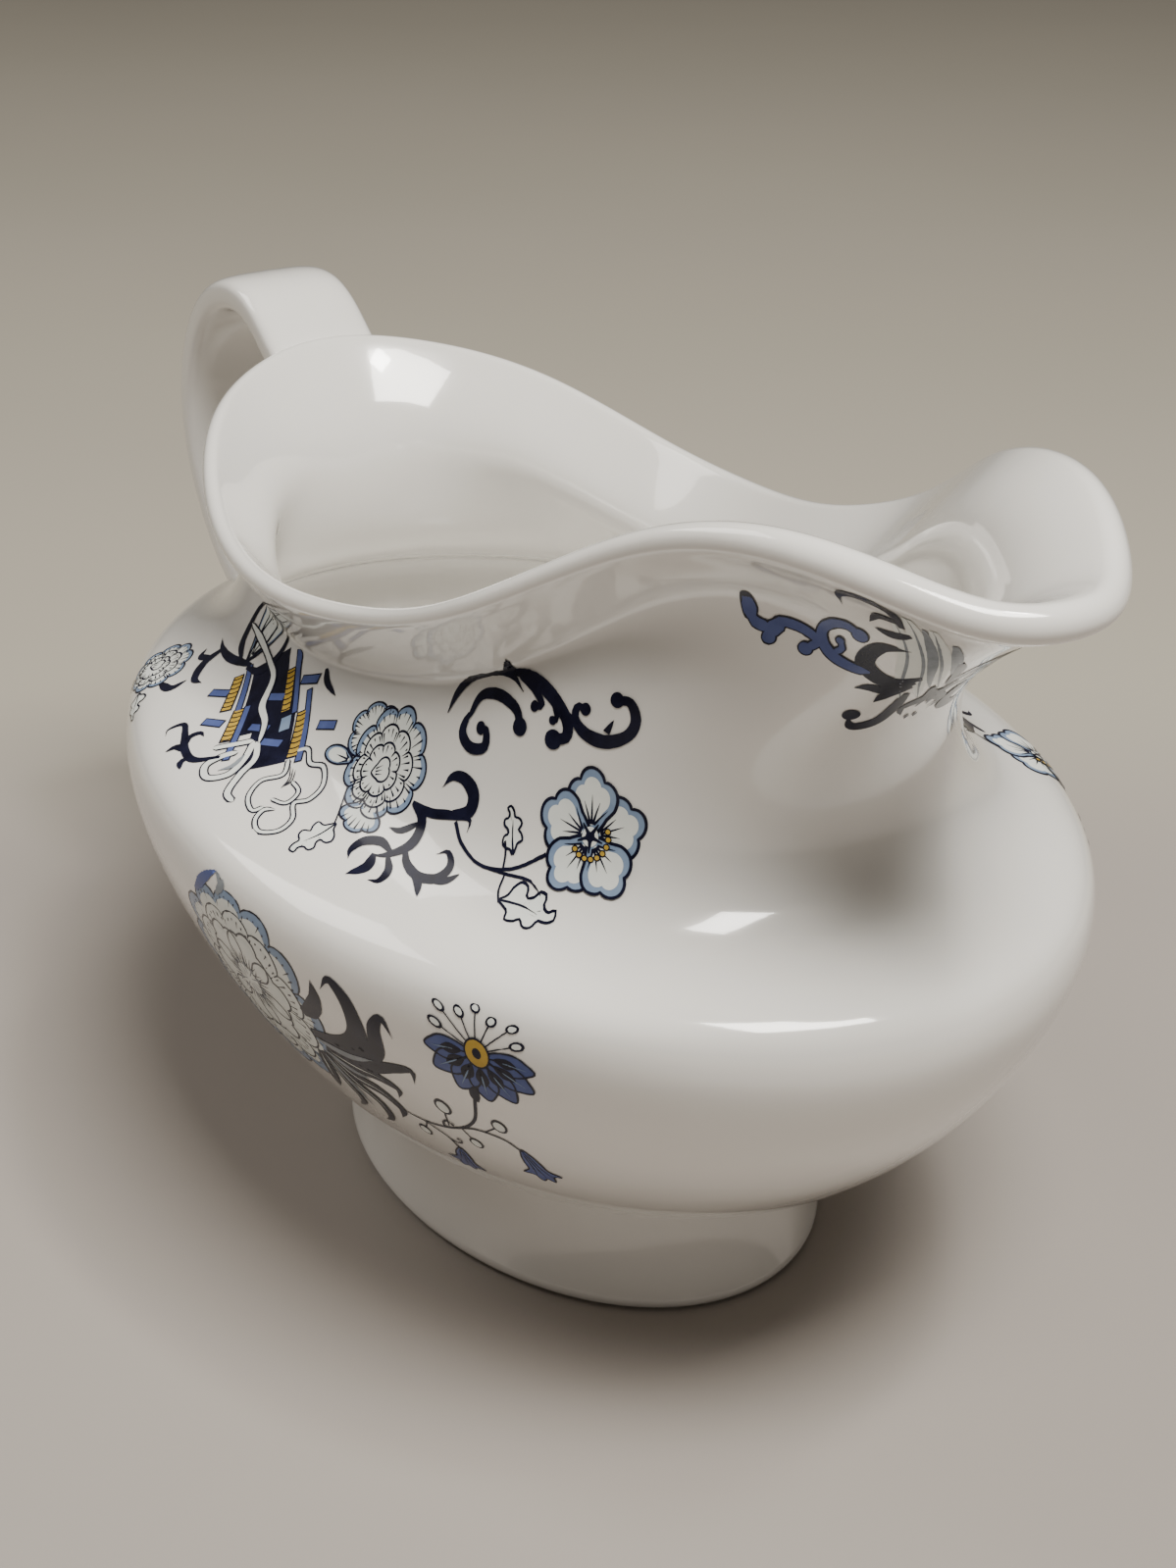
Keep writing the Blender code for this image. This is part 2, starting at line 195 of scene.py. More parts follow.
def skin(name, rings, closed=False, poles=(None, None)):
    """Surface through rings given in foot-centred mm."""
    rings = [np.asarray(r, float) for r in rings]
    n = len(rings[0])
    co = np.concatenate(rings)
    faces = []
    m = len(rings)
    for i in range(m if closed else m - 1):
        a, b = i * n, ((i + 1) % m) * n
        for j in range(n):
            k = (j + 1) % n
            faces.append((a + j, a + k, b + k, b + j))
    extra = []
    for base, pole, flip in ((0, poles[0], True), ((m - 1) * n, poles[1], False)):
        if pole is not None:
            idx = len(co) + len(extra)
            extra.append(pole)
            for j in range(n):
                k = (j + 1) % n
                faces.append((base + k, base + j, idx) if flip else (base + j, base + k, idx))
    if extra:
        co = np.vstack([co, np.asarray(extra)])
    co = (co + np.array([SHIFT, 0, 0])) * MM
    mesh = bpy.data.meshes.new(name)
    mesh.from_pydata([tuple(c) for c in co], [], faces)
    bm = bmesh.new()
    bm.from_mesh(mesh)
    bmesh.ops.recalc_face_normals(bm, faces=bm.faces)
    bm.to_mesh(mesh)
    bm.free()
    mesh.polygons.foreach_set("use_smooth", [True] * len(mesh.polygons))
    return new_object(name, mesh)


# ------------------------------------------------------------------ materials
def socket(shader, name, value):
    shader.inputs[name].default_value = value


def noise(nt, coords, scale, detail=3.0, rough=0.5):
    n = nt.nodes.new("ShaderNodeTexNoise")
    n.inputs["Scale"].default_value = scale
    n.inputs["Detail"].default_value = detail
    n.inputs["Roughness"].default_value = rough
    nt.links.new(coords, n.inputs["Vector"])
    return n


def ramp(nt, fac, stops):
    r = nt.nodes.new("ShaderNodeValToRGB")
    els = r.color_ramp.elements
    while len(els) < len(stops):
        els.new(0.5)
    for e, (pos, col) in zip(els, stops):
        e.position = pos
        e.color = (*col, 1.0)
    nt.links.new(fac, r.inputs["Fac"])
    return r


def glaze(name, light, dark, coat_rough=0.035, rough=(0.10, 0.2), bump=0.05, specks=True):
    """Glazed porcelain: a warm white body with faint cloudiness, a few pin-head specks, and a clear
    glaze whose surface has a very slight orange peel."""
    mat = bpy.data.materials.new(name)
    mat.use_nodes = True
    nt = mat.node_tree
    sh = nt.nodes["Principled BSDF"]
    tc = nt.nodes.new("ShaderNodeTexCoord").outputs["Object"]
    cloud = noise(nt, tc, 38.0, 4.0, 0.55)
    tone = ramp(nt, cloud.outputs["Fac"], [(0.32, dark), (0.68, light)])
    colour = tone.outputs["Color"]
    if specks:
        v = nt.nodes.new("ShaderNodeTexVoronoi")
        v.inputs["Scale"].default_value = 95.0
        nt.links.new(tc, v.inputs["Vector"])
        pick = noise(nt, tc, 61.0, 1.0)
        gate = ramp(nt, pick.outputs["Fac"], [(0.66, (0, 0, 0)), (0.70, (1, 1, 1))])
        dot = ramp(nt, v.outputs["Distance"], [(0.018, (1, 1, 1)), (0.034, (0, 0, 0))])
        mul = nt.nodes.new("ShaderNodeMath")
        mul.operation = "MULTIPLY"
        nt.links.new(gate.outputs["Color"], mul.inputs[0])
        nt.links.new(dot.outputs["Color"], mul.inputs[1])
        mix = nt.nodes.new("ShaderNodeMix")
        mix.data_type = "RGBA"
        nt.links.new(mul.outputs[0], mix.inputs["Factor"])
        nt.links.new(colour, mix.inputs[6])
        mix.inputs[7].default_value = (0.42, 0.36, 0.28, 1.0)
        colour = mix.outputs[2]
    nt.links.new(colour, sh.inputs["Base Color"])
    rn = noise(nt, tc, 120.0, 2.0)
    mr = nt.nodes.new("ShaderNodeMapRange")
    mr.inputs["To Min"].default_value, mr.inputs["To Max"].default_value = rough
    nt.links.new(rn.outputs["Fac"], mr.inputs["Value"])
    nt.links.new(mr.outputs["Result"], sh.inputs["Roughness"])
    peel = noise(nt, tc, 210.0, 2.0, 0.4)
    bp = nt.nodes.new("ShaderNodeBump")
    bp.inputs["Strength"].default_value = bump
    bp.inputs["Distance"].default_value = 0.0004
    nt.links.new(peel.outputs["Fac"], bp.inputs["Height"])
    nt.links.new(bp.outputs["Normal"], sh.inputs["Normal"])
    nt.links.new(bp.outputs["Normal"], sh.inputs["Coat Normal"])
    socket(sh, "Coat Weight", 1.0)
    socket(sh, "Coat Roughness", coat_rough)
    socket(sh, "Coat IOR", 1.5)
    socket(sh, "IOR", 1.48)
    return mat


PORCELAIN = glaze("warm_white_glaze", (0.885, 0.868, 0.832), (0.862, 0.842, 0.800))
SHIFTS = {}

# ------------------------------------------------------------------ body
AROUND = 288
BOWL_N, NECK_N = 56, 120
T = np.linspace(0, 2 * np.pi, AROUND, endpoint=False)
OUT = outer_rows(T, BOWL_N, NECK_N)
NRM = row_normals(OUT)
rc, rup, rout = rim_frame(T)
NRM[-1] = rout


def build_body():
    z = np.linspace(0, 1, len(OUT))
    # share of the profile's length, so that the wall thins evenly to the rim
    seg = np.linalg.norm(np.diff(OUT, axis=0), axis=-1)
    arc = np.concatenate([np.zeros((1, AROUND)), np.cumsum(seg, 0)])
    arc /= arc[-1]
    z = arc
    wall = np.array([np.interp(z[:, k], (0, 0.35, 0.55, 0.85, 1.0),
                               (WALL_BOWL + 0.4, WALL_BOWL, WALL_BOWL, WALL_NECK, 2 * rim_bead(T)[k, 0]))
                     for k in range(AROUND)]).T
    inner = OUT - NRM * wall[..., None]
    lip = [rc + rim_bead(T) * (np.cos(a) * rout + np.sin(a) * rup) for a in np.radians(np.arange(15, 166, 15))]
    under, up_pole = shrink(OUT[0] + np.array([0, 0, 0.0]), 8, 1.1)
    k = 14
    floor_z = FOOT_HEIGHT + 1.2 + FLOOR
    mid = inner[k].mean(0)
    mid[2] = floor_z
    into = unit(inner[k] - inner[k + 2])

    def share(f):
        q = mid + (inner[k] - mid) * f
        q[:, 2] = floor_z
        return q

    a, b, c, d = inner[k], inner[k] + into * 4.5, share(0.74), share(0.50)
    floor = [(1 - f) ** 3 * a + 3 * f * (1 - f) ** 2 * b + 3 * f * f * (1 - f) * c + f**3 * d for f in np.linspace(0, 1, 17)[1:]]
    floor += [share(f) for f in np.linspace(0.50, 0, 12)[1:-1]]
    floor_pole = mid.copy()
    rings = list(reversed(under)) + list(OUT) + lip + list(inner[:k - 1:-1]) + floor
    return skin("porcelain_body", rings, poles=(up_pole, floor_pole))


body = build_body()
body.data.materials.append(PORCELAIN)
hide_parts("jug_body")
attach(body, "root")

OUTV = np.concatenate([OUT, [rc + rim_bead(T) * (np.cos(a) * rout + np.sin(a) * rup) for a in np.radians((30, 60, 90))]])


def tree_of(rows):
    n = rows.shape[1]
    verts = [Vector(p) for p in rows.reshape(-1, 3)]
    faces = [(i * n + j, i * n + (j + 1) % n, (i + 1) * n + (j + 1) % n, (i + 1) * n + j)
             for i in range(len(rows) - 1) for j in range(n)]
    return BVHTree.FromPolygons(verts, faces)


OUTER = tree_of(OUTV)


# ------------------------------------------------------------------ foot
def build_foot():
    t = T

    def oval(a, b, z):
        return np.stack([a * np.cos(t), b * np.sin(t), z + 0 * t], -1)

    rings = []
    top, edge = FOOT_HEIGHT - 1.1, 1.2
    # the smoothed joint under the bowl, then the slightly hollow outside, then the rounded resting edge
    for f in np.linspace(0, 1, 9):
        a = np.radians(90 * f)
        r = 1.5
        rings.append(oval(FOOT_TOP_A + SHIFTX(f) * 0 + r * (1 - np.sin(a)) + 0.1, FOOT_TOP_B + r * (1 - np.sin(a)) + 0.1,
                          top + 1.75 - (1 - np.cos(a)) * 1.75))
    for f in np.linspace(0.04, 1, 26):
        z = top + (edge - top) * f
        bow = 0.5 * np.sin(np.pi * f)
        rings.append(oval(FOOT_TOP_A + 0.1 * (1 - f) + (FOOT_A - FOOT_TOP_A) * f - bow,
                          FOOT_TOP_B + 0.1 * (1 - f) + (FOOT_B - FOOT_TOP_B) * f - bow, z))
    for a in np.radians(np.arange(15, 91, 15)):
        rings.append(oval(FOOT_A - edge * (1 - np.cos(a)), FOOT_B - edge * (1 - np.cos(a)), edge * (1 - np.sin(a))))
    ia, ib = FOOT_A - FOOT_WALL, FOOT_B - FOOT_WALL
    for a in np.radians(np.arange(90, -1, -15)):
        rings.append(oval(ia + 0.8 * (1 - np.cos(a)), ib + 0.8 * (1 - np.cos(a)), 0.8 * (1 - np.sin(a))))
    for f in np.linspace(0.1, 1, 10):
        z = 0.8 + (FOOT_HEIGHT + 0.5 - 0.8) * f
        rings.append(oval(ia - (ia - (FOOT_TOP_A - FOOT_WALL)) * f, ib - (ib - (FOOT_TOP_B - FOOT_WALL)) * f, z))
    return skin("porcelain_foot", rings, closed=True)


def SHIFTX(f):
    return 0.0


foot = build_foot()
foot.data.materials.append(PORCELAIN)
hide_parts("oval_foot", "foot_slip")
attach(foot, "root")


# ------------------------------------------------------------------ handle
def smooth_path(path, count):
    path = np.asarray(path, float)
    n = len(path)
    # natural cubic through the stations, by chord length
    s = np.r_[0, np.cumsum(np.linalg.norm(np.diff(path, axis=0), axis=1))]
    h = np.diff(s)
    a = np.zeros((n, n))
    a[0, 0] = a[-1, -1] = 1
    r = np.zeros((n, 2))
    for i in range(1, n - 1):
        a[i, i - 1], a[i, i], a[i, i + 1] = h[i - 1], 2 * (h[i - 1] + h[i]), h[i]
        r[i] = 6 * ((path[i + 1] - path[i]) / h[i] - (path[i] - path[i - 1]) / h[i - 1])
    m = np.linalg.solve(a, r)
    u = np.linspace(0, s[-1], count)
    k = np.clip(np.searchsorted(s, u, side="right") - 1, 0, n - 2)
    d0, d1 = (u - s[k])[:, None], (s[k + 1] - u)[:, None]
    hk = h[k][:, None]
    return ((m[k] * d1**3 + m[k + 1] * d0**3) / (6 * hk) + (path[k] / hk - m[k] * hk / 6) * d1
            + (path[k + 1] / hk - m[k + 1] * hk / 6) * d0)


def strap_section(count=64):
    """Rounded flat section, slightly crowned outside, as (across, out) and its outward normals."""
    w, h = STRAP_WIDTH / 2, STRAP_THICK / 2
    a = np.linspace(0, 2 * np.pi, count, endpoint=False)
    p = 0.36
    x = w * np.sign(np.cos(a)) * np.abs(np.cos(a)) ** p
    y = h * np.sign(np.sin(a)) * np.abs(np.sin(a)) ** (p * 1.35)
    y = np.where(y > 0, y * (0.90 + 0.10 * (1 - (x / w) ** 2)), y)
    pts = np.stack([x, y], -1)
    # even spacing round the outline
    closed = np.vstack([pts, pts[:1]])
    s = np.r_[0, np.cumsum(np.linalg.norm(np.diff(closed, axis=0), axis=1))]
    u = np.linspace(0, s[-1], count, endpoint=False)
    out = np.stack([np.interp(u, s, closed[:, k]) for k in (0, 1)], -1)
    tan = np.roll(out, -1, 0) - np.roll(out, 1, 0)
    nrm = unit(np.stack([tan[:, 1], -tan[:, 0]], -1))
    return out, nrm


def build_handle():
    dense = smooth_path(STRAP_PATH, 1200)
    length = np.r_[0, np.cumsum(np.linalg.norm(np.diff(dense, axis=0), axis=1))]
    n = 150
    at = np.linspace(0, length[-1], n)
    p = np.stack([np.interp(at, length, dense[:, k]) for k in (0, 1)], -1)
    d = unit(np.gradient(p, axis=0))
    sec, secn = strap_section(72)

    def ring(i):
        side = np.array([d[i][1], -d[i][0]])
        return np.stack([p[i][0] + sec[:, 1] * side[0], sec[:, 0], p[i][1] + sec[:, 1] * side[1]], -1)

    def ring_normal(i):
        side = np.array([d[i][1], -d[i][0]])
        return np.stack([secn[:, 1] * side[0], secn[:, 0], secn[:, 1] * side[1]], -1)

    def far(point):
        found, normal, _, dist = OUTER.find_nearest(Vector(point))
        return dist * (1 if (Vector(point) - found).dot(normal) >= 0 else -1), np.array(found), np.array(normal)

    def blend_end(step, radius):
        i = n // 2
        while min(far(q)[0] for q in ring(i + step)[::6]) > radius + 0.6:
            i += step
        r, rn = ring(i), ring_normal(i)
        way = np.array([d[i][0], 0, d[i][1]]) * step
        hits, ends = [], []
        for q, nn, sy in zip(r, rn, sec[:, 1]):
            lo, hi, prev = 0.0, None, 0.0
            x = 0.0
            while x < 16.0:
                x += 0.25
                if far(q + way * x)[0] < 0:
                    hi = x
                    break
                prev = x
            if hi is None:
                hi = prev = 6.0
            for _ in range(12):
                mid = (prev + hi) / 2
                if far(q + way * mid)[0] < 0:
                    hi = mid
                else:
                    prev = mid
            h = q + way * hi
            _, _, bn = far(h)
            rr = radius * (0.45 if (step < 0 and sy > 0.6) else 1.0)
            out = nn - bn * nn.dot(bn)
            out = out / max(np.linalg.norm(out), 1e-6)
            e = h + out * rr
            _, e2, bn2 = far(e)
            hits.append(h)
            ends.append(e2 - bn2 * 0.02)
        hits, ends = np.array(hits), np.array(ends)
        # the flare starts its own radius back from the body
        back = np.array([np.linalg.norm(e - h) for e, h in zip(ends, hits)])[:, None]
        reach = ((hits - r) @ way)[:, None]
        start = hits - way * np.minimum(back * 1.15, reach)
        curve = []
        for f in np.linspace(0, 1, 13):
            curve.append((1 - f) ** 2 * start + 2 * f * (1 - f) * hits + f * f * ends)
        tuck = []
        mid = ends.mean(0)
        for q, h in zip(ends, hits):
            _, s0, bn = far(q)
            tuck.append(s0 - bn * 0.7 + (mid - q) * 0.06)
        curve.append(np.array(tuck))
        return i, curve

    iu, up = blend_end(-1, 2.4)
    il, low = blend_end(1, 2.6)
    rings = list(reversed(up)) + [ring(i) for i in range(iu, il + 1)] + low
    caps = (rings[0].mean(0), rings[-1].mean(0))
    return skin("porcelain_handle", rings, poles=caps)


handle = build_handle()
handle.data.materials.append(PORCELAIN)
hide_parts("strap_handle", "handle_upper_slip", "handle_lower_slip")
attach(handle, "root")

# ------------------------------------------------------------------ printed decoration, under the glaze's shine
# Every motif is drawn in flat millimetres on a patch of the jug's surface and laid down as a skin 0.03 to 0.12 mm
# proud of it: plain fills first, then outlines, then veins and dots.
def ink(name, light, dark, rough=0.16):
    mat = bpy.data.materials.new(name)
    mat.use_nodes = True
    nt = mat.node_tree
    sh = nt.nodes["Principled BSDF"]
    tc = nt.nodes.new("ShaderNodeTexCoord").outputs["Object"]
    wash = noise(nt, tc, 420.0, 5.0, 0.65)
    tone = ramp(nt, wash.outputs["Fac"], [(0.30, dark), (0.72, light)])
    nt.links.new(tone.outputs["Color"], sh.inputs["Base Color"])
    peel = noise(nt, tc, 210.0, 2.0, 0.4)
    bp = nt.nodes.new("ShaderNodeBump")
    bp.inputs["Strength"].default_value = 0.04
    bp.inputs["Distance"].default_value = 0.0004
    nt.links.new(peel.outputs["Fac"], bp.inputs["Height"])
    nt.links.new(bp.outputs["Normal"], sh.inputs["Normal"])
    nt.links.new(bp.outputs["Normal"], sh.inputs["Coat Normal"])
    socket(sh, "Roughness", rough)
    socket(sh, "Specular IOR Level", 0.15)
    socket(sh, "Coat Weight", 0.18)
    socket(sh, "Coat Roughness", 0.04)
    socket(sh, "Coat IOR", 1.36)
    return mat


INKS = {
    "navy": ink("ink_navy", (0.012, 0.013, 0.035), (0.004, 0.004, 0.012)),
    "blue": ink("ink_blue", (0.10, 0.135, 0.33), (0.065, 0.09, 0.25)),
    "mist": ink("ink_pale_blue", (0.27, 0.36, 0.50), (0.19, 0.27, 0.42)),
    "white": ink("ink_white", (0.84, 0.86, 0.82), (0.76, 0.80, 0.77)),
    "grey": ink("ink_grey", (0.30, 0.33, 0.36), (0.17, 0.19, 0.22)),
    "ochre": ink("ink_ochre", (0.62, 0.42, 0.07), (0.46, 0.29, 0.04)),
}


def nearest(q):
    loc, normal, _, _ = OUTER.find_nearest(Vector(q))
    return np.array(loc), np.array(normal)


class Patch:
    def __init__(self, name, at, flip=False, turn=0.0):
        self.name, self.flip = name, -1.0 if flip else 1.0
        self.at, n = nearest((at[0], -at[1] if flip else at[1], at[2]))
        ex = np.cross([0, 0, 1.0], n)
        self.ex = ex / np.linalg.norm(ex)
        self.ey = np.cross(n, self.ex)
        self.c, self.s = math.cos(math.radians(turn)), math.sin(math.radians(turn))
        self.mesh = {}

    def lay(self, pts, faces, colour, lift):
        verts, polys = self.mesh.setdefault(colour, ([], []))
        base = len(verts)
        for x, y in pts:
            x, y = self.c * x - self.s * y, self.s * x + self.c * y
            p, n = nearest(self.at + self.ex * x * self.flip + self.ey * y)
            p = p + n * lift
            verts.append(((p[0] + SHIFT) * MM, p[1] * MM, p[2] * MM))
        for f in faces:
            f = [base + i for i in f]
            polys.append(f if self.flip > 0 else f[::-1])

    def finish(self):
        for colour, (verts, polys) in self.mesh.items():
            mesh = bpy.data.meshes.new("print_%s_%s" % (self.name, colour))
            mesh.from_pydata(verts, [], polys)
            mesh.polygons.foreach_set("use_smooth", [True] * len(polys))
            mesh.materials.append(INKS[colour])
            obj = new_object(mesh.name, mesh)
            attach(obj, "root")


def curve(points, step=0.35, closed=False):
    """Smooth curve through points, evenly stepped."""
    p = np.asarray(points, float)
    if closed:
        ext = np.vstack([p[-1:], p, p[:2]])
        n = len(p)
    else:
        ext = np.vstack([2 * p[0] - p[1], p, 2 * p[-1] - p[-2]])
        n = len(p) - 1
    s = np.linspace(0, n - 1e-9, n * 24 + 1)
    k = s.astype(int)
    f = (s - k)[:, None]
    a, b, c, d = (ext[k + i] for i in range(4))
    q = 0.5 * (2 * b + (c - a) * f + (2 * a - 5 * b + 4 * c - d) * f**2 + (3 * b - a - 3 * c + d) * f**3)
    arc = np.r_[0, np.cumsum(np.linalg.norm(np.diff(q, axis=0), axis=1))]
    m = max(3, int(arc[-1] / step) + 1)
    u = np.linspace(0, arc[-1], m)
    return np.stack([np.interp(u, arc, q[:, i]) for i in (0, 1)], -1)


def stroke(patch, points, width, colour="navy", lift=0.09, ends=(0.25, 0.25), closed=False, smooth=True):
    """A brushed line: width is one number, or stations along it."""
    p = curve(points, closed=closed) if smooth else np.asarray(points, float)
    u = np.linspace(0, 1, len(p))
    w = np.interp(u, np.linspace(0, 1, np.size(width)), np.atleast_1d(width)) if np.size(width) > 1 else np.full(len(p), float(width))
    if not closed:
        for end, way in zip(ends, (u, 1 - u)):
            if end > 0:
                w = w * np.clip(way / end, 0.12, 1) ** 0.6
    d = np.gradient(p, axis=0)
    if closed:
        d[0] = d[-1] = p[1] - p[-2]
    d = unit(d)
    side = np.stack([-d[:, 1], d[:, 0]], -1)
    k = 3 if w.max() < 0.8 else 5
    rows = [p + side * (w / 2 * f)[:, None] for f in np.linspace(-1, 1, k)]
    pts = np.stack(rows, 1).reshape(-1, 2)
    faces = [(i * k + j, (i + 1) * k + j, (i + 1) * k + j + 1, i * k + j + 1) for i in range(len(p) - 1) for j in range(k - 1)]
    patch.lay(pts, [f[::-1] for f in faces], colour, lift)


def fill(patch, outline, colour, lift=0.04, centre=None, size=1.0):
    """Fills an outline that can be seen whole from its centre."""
    o = np.asarray(outline, float)
    c = o.mean(0) if centre is None else np.asarray(centre, float)
    o = c + (o - c) * size
    if np.cross(o[1] - o[0], o[2] - o[1]).sum() < 0 or area_of(o) < 0:
        o = o[::-1] if area_of(o) < 0 else o
    reach = np.linalg.norm(o - c, axis=1).max()
    k = max(2, int(math.ceil(reach / 0.8)))
    pts = [c]
    for i in range(1, k + 1):
        pts += list(c + (o - c) * (i / k))
    n = len(o)
    faces = [(0, 1 + j, 1 + (j + 1) % n) for j in range(n)]
    for i in range(k - 1):
        a, b = 1 + i * n, 1 + (i + 1) * n
        faces += [(a + j, b + j, b + (j + 1) % n, a + (j + 1) % n) for j in range(n)]
    patch.lay(pts, faces, colour, lift)


def area_of(o):
    x, y = o[:, 0], o[:, 1]
    return 0.5 * float(np.sum(x * np.roll(y, -1) - np.roll(x, -1) * y))


def put(pts, at=(0, 0), turn=0.0, size=1.0, squash=1.0):
    p = np.asarray(pts, float) * size
    a = math.radians(turn)
    x, y = p[:, 0], p[:, 1]
    q = np.stack([x * math.cos(a) - y * math.sin(a), x * math.sin(a) + y * math.cos(a)], -1)
    q[:, 1] *= squash
    return q + np.asarray(at, float)


def disc(r, n=18, squash=1.0):
    a = np.linspace(0, 2 * np.pi, n, endpoint=False)
    return np.stack([r * np.cos(a), r * squash * np.sin(a)], -1)


def petal_outline(length, width, lobes=3, depth=0.25):
    """A petal from the origin along +x, narrow at its root, with a scalloped outer edge."""
    half = 118.0
    a = np.radians(np.linspace(-180, 180, 72, endpoint=False))
    deg = np.abs(np.degrees(a))
    bump = np.abs(np.cos(np.radians(deg * lobes * 90.0 / half))) ** 0.75 if lobes % 2 else np.abs(np.sin(np.radians(deg * lobes * 90.0 / half))) ** 0.75
    r = np.where(deg < half, 1 - depth + depth * bump, 1 - depth)
    x = length * 0.54 + length * 0.48 * np.cos(a) * np.where(deg > 90, 1.0, r)
    taper = np.clip((180 - deg) / 75, 0, 1) ** 0.8
    y = width / 2 * np.sin(a) * r * np.where(deg > 105, 0.30 + 0.70 * taper, 1.0)
    x = np.where(deg > 90, length * 0.54 * (1 + np.cos(a)), x)
    return np.stack([x, y], -1)


def petal(patch, at, turn, length, width, lift, lobes=3, edge="mist", body="white", line=0.26, veins=5, squash=1.0,
          reach=(0.18, 0.62), rim_veins=False, open_edge=0.76):
    out = put(petal_outline(length, width, lobes), at, turn, squash=squash)
    mid = put([(length * 0.55, 0)], at, turn, squash=squash)[0]
    fill(patch, out, edge, lift, mid)
    fill(patch, out, body, lift + 0.012, mid, open_edge)
    stroke(patch, np.vstack([out, out[:1]]), line, "navy", lift + 0.024, ends=(0, 0), closed=False, smooth=False)
    for k in range(veins):
        f = (k / (veins - 1) - 0.5) if veins > 1 else 0.0
        long = reach[1] * (1 - 0.35 * abs(f) * 2)
        if rim_veins:
            line_pts = [(length * (0.93 - 0.10 * abs(f) * 2), width * 0.74 * f), (length * (0.93 - 0.34), width * 0.55 * f)]
        else:
            line_pts = [(length * reach[0], width * 0.10 * f), (length * (reach[0] + long) / 2, width * 0.34 * f), (length * long, width * 0.62 * f)]
        stroke(patch, put(line_pts, at, turn, squash=squash), (0.26, 0.16, 0.08), "navy", lift + 0.024, ends=(0, 0.3))


def blossom(patch, at, radius, turn=0.0, squash=1.0, lift=0.045):
    """Five open petals with pale blue edges, an inked heart and a ring of ochre anthers."""
    for k in range(5):
        petal(patch, at, turn + 72 * k, radius, radius * 0.94, lift + 0.027 * k, lobes=3, squash=squash, veins=5, line=0.3, open_edge=0.70)
    fill(patch, put(disc(radius * 0.15), at, squash=squash), "white", lift + 0.15)
    for k in range(9):
        a = math.radians(turn + 200 + k * 20)
        c = np.asarray(at) + radius * 0.33 * np.array([math.cos(a), math.sin(a) * squash])
        fill(patch, put(disc(radius * 0.066, 10), c), "navy", lift + 0.155)
        fill(patch, put(disc(radius * 0.042, 10), c), "ochre", lift + 0.165)
    for k in range(5):
        a = turn + 36 + 72 * k
        stroke(patch, put([(0, 0), (radius * 0.24, 0)], at, a, squash=squash), (0.5, 0.12), "navy", lift + 0.158, ends=(0, 0))
    fill(patch, put(disc(radius * 0.09, 12), at), "navy", lift + 0.165)


def ruffle(patch, at, radius, lobes, turn, squash, lift, edge="mist", body="white", ticks=4, line=0.24):
    """One round of a full bloom: a scalloped frill with hatching that runs in from its edge."""
    a = np.linspace(0, 2 * np.pi, lobes * 12, endpoint=False)
    r = radius * (0.86 + 0.14 * np.abs(np.cos(a * lobes / 2)) ** 0.7)
    out = put(np.stack([r * np.cos(a), r * np.sin(a)], -1), at, turn, squash=squash)
    fill(patch, out, edge, lift, at)
    fill(patch, out, body, lift + 0.007, at, 0.87)
    stroke(patch, np.vstack([out, out[:1]]), line, "navy", lift + 0.014, ends=(0, 0), smooth=False)
    for k in range(lobes * ticks):
        b = 2 * np.pi * (k + 0.5) / (lobes * ticks)
        ray = np.array([math.cos(b), math.sin(b)])
        rim = radius * (0.86 + 0.14 * abs(math.cos(b * lobes / 2)) ** 0.7)
        deep = 0.60 + 0.10 * ((k * 7) % 3)
        stroke(patch, put([ray * rim * 0.90, ray * rim * deep], at, turn, squash=squash), (0.24, 0.10), "navy", lift + 0.015,
               ends=(0, 0.3), smooth=False)
    for k in range(lobes):
        b = 2 * np.pi * (k + 0.5) / lobes
        ray = np.array([math.cos(b), math.sin(b)]) * radius
        stroke(patch, put([ray * 0.86, ray * 0.62], at, turn, squash=squash), (0.26, 0.16), "navy", lift + 0.016, ends=(0, 0.2), smooth=False)


def bloom(patch, at, radius, turn=0.0, squash=1.0, lift=0.035, edge="mist", body="white"):
    """A full layered bloom: frills laid over one another, drawn together low on the flower."""
    at = np.asarray(at, float)
    low = np.array([-0.10, -0.16]) * radius
    ruffle(patch, at, radius, 9, turn, squash, lift, edge, body)
    ruffle(patch, at + low * 0.5, radius * 0.72, 8, turn + 11, squash, lift + 0.018, body, body)
    ruffle(patch, at + low * 0.9, radius * 0.47, 7, turn + 31, squash, lift + 0.036, body, body, ticks=3)
    heart = put(petal_outline(radius * 0.46, radius * 0.44, 2), at + low - [radius * 0.16, radius * 0.1], turn + 20, squash=squash)
    fill(patch, heart, body, lift + 0.054)
    stroke(patch, np.vstack([heart, heart[:1]]), 0.22, "navy", lift + 0.062, ends=(0, 0), smooth=False)
    for k in (-1, 0, 1):
        stroke(patch, put([(radius * 0.10, 0.3 * k), (radius * 0.26, 0.45 * k)], at + low - [radius * 0.16, radius * 0.1], turn + 20),
               (0.2, 0.08), "navy", lift + 0.063, ends=(0, 0.3), smooth=False)


def drop_scroll(patch, points, width, ball, lift=0.085, colour="navy", edge=0.0):
    """A brushed scroll through points with a round drop at its end, and an inked edge if it is coloured."""
    if edge:
        stroke(patch, points, np.asarray(width) + 2 * edge, "navy", lift - 0.012, ends=(0.06, 0.0))
        fill(patch, put(disc(ball + edge), points[-1]), "navy", lift - 0.010)
    stroke(patch, points, width, colour, lift, ends=(0.08, 0.0))
    fill(patch, put(disc(ball), points[-1]), colour, lift + 0.004)


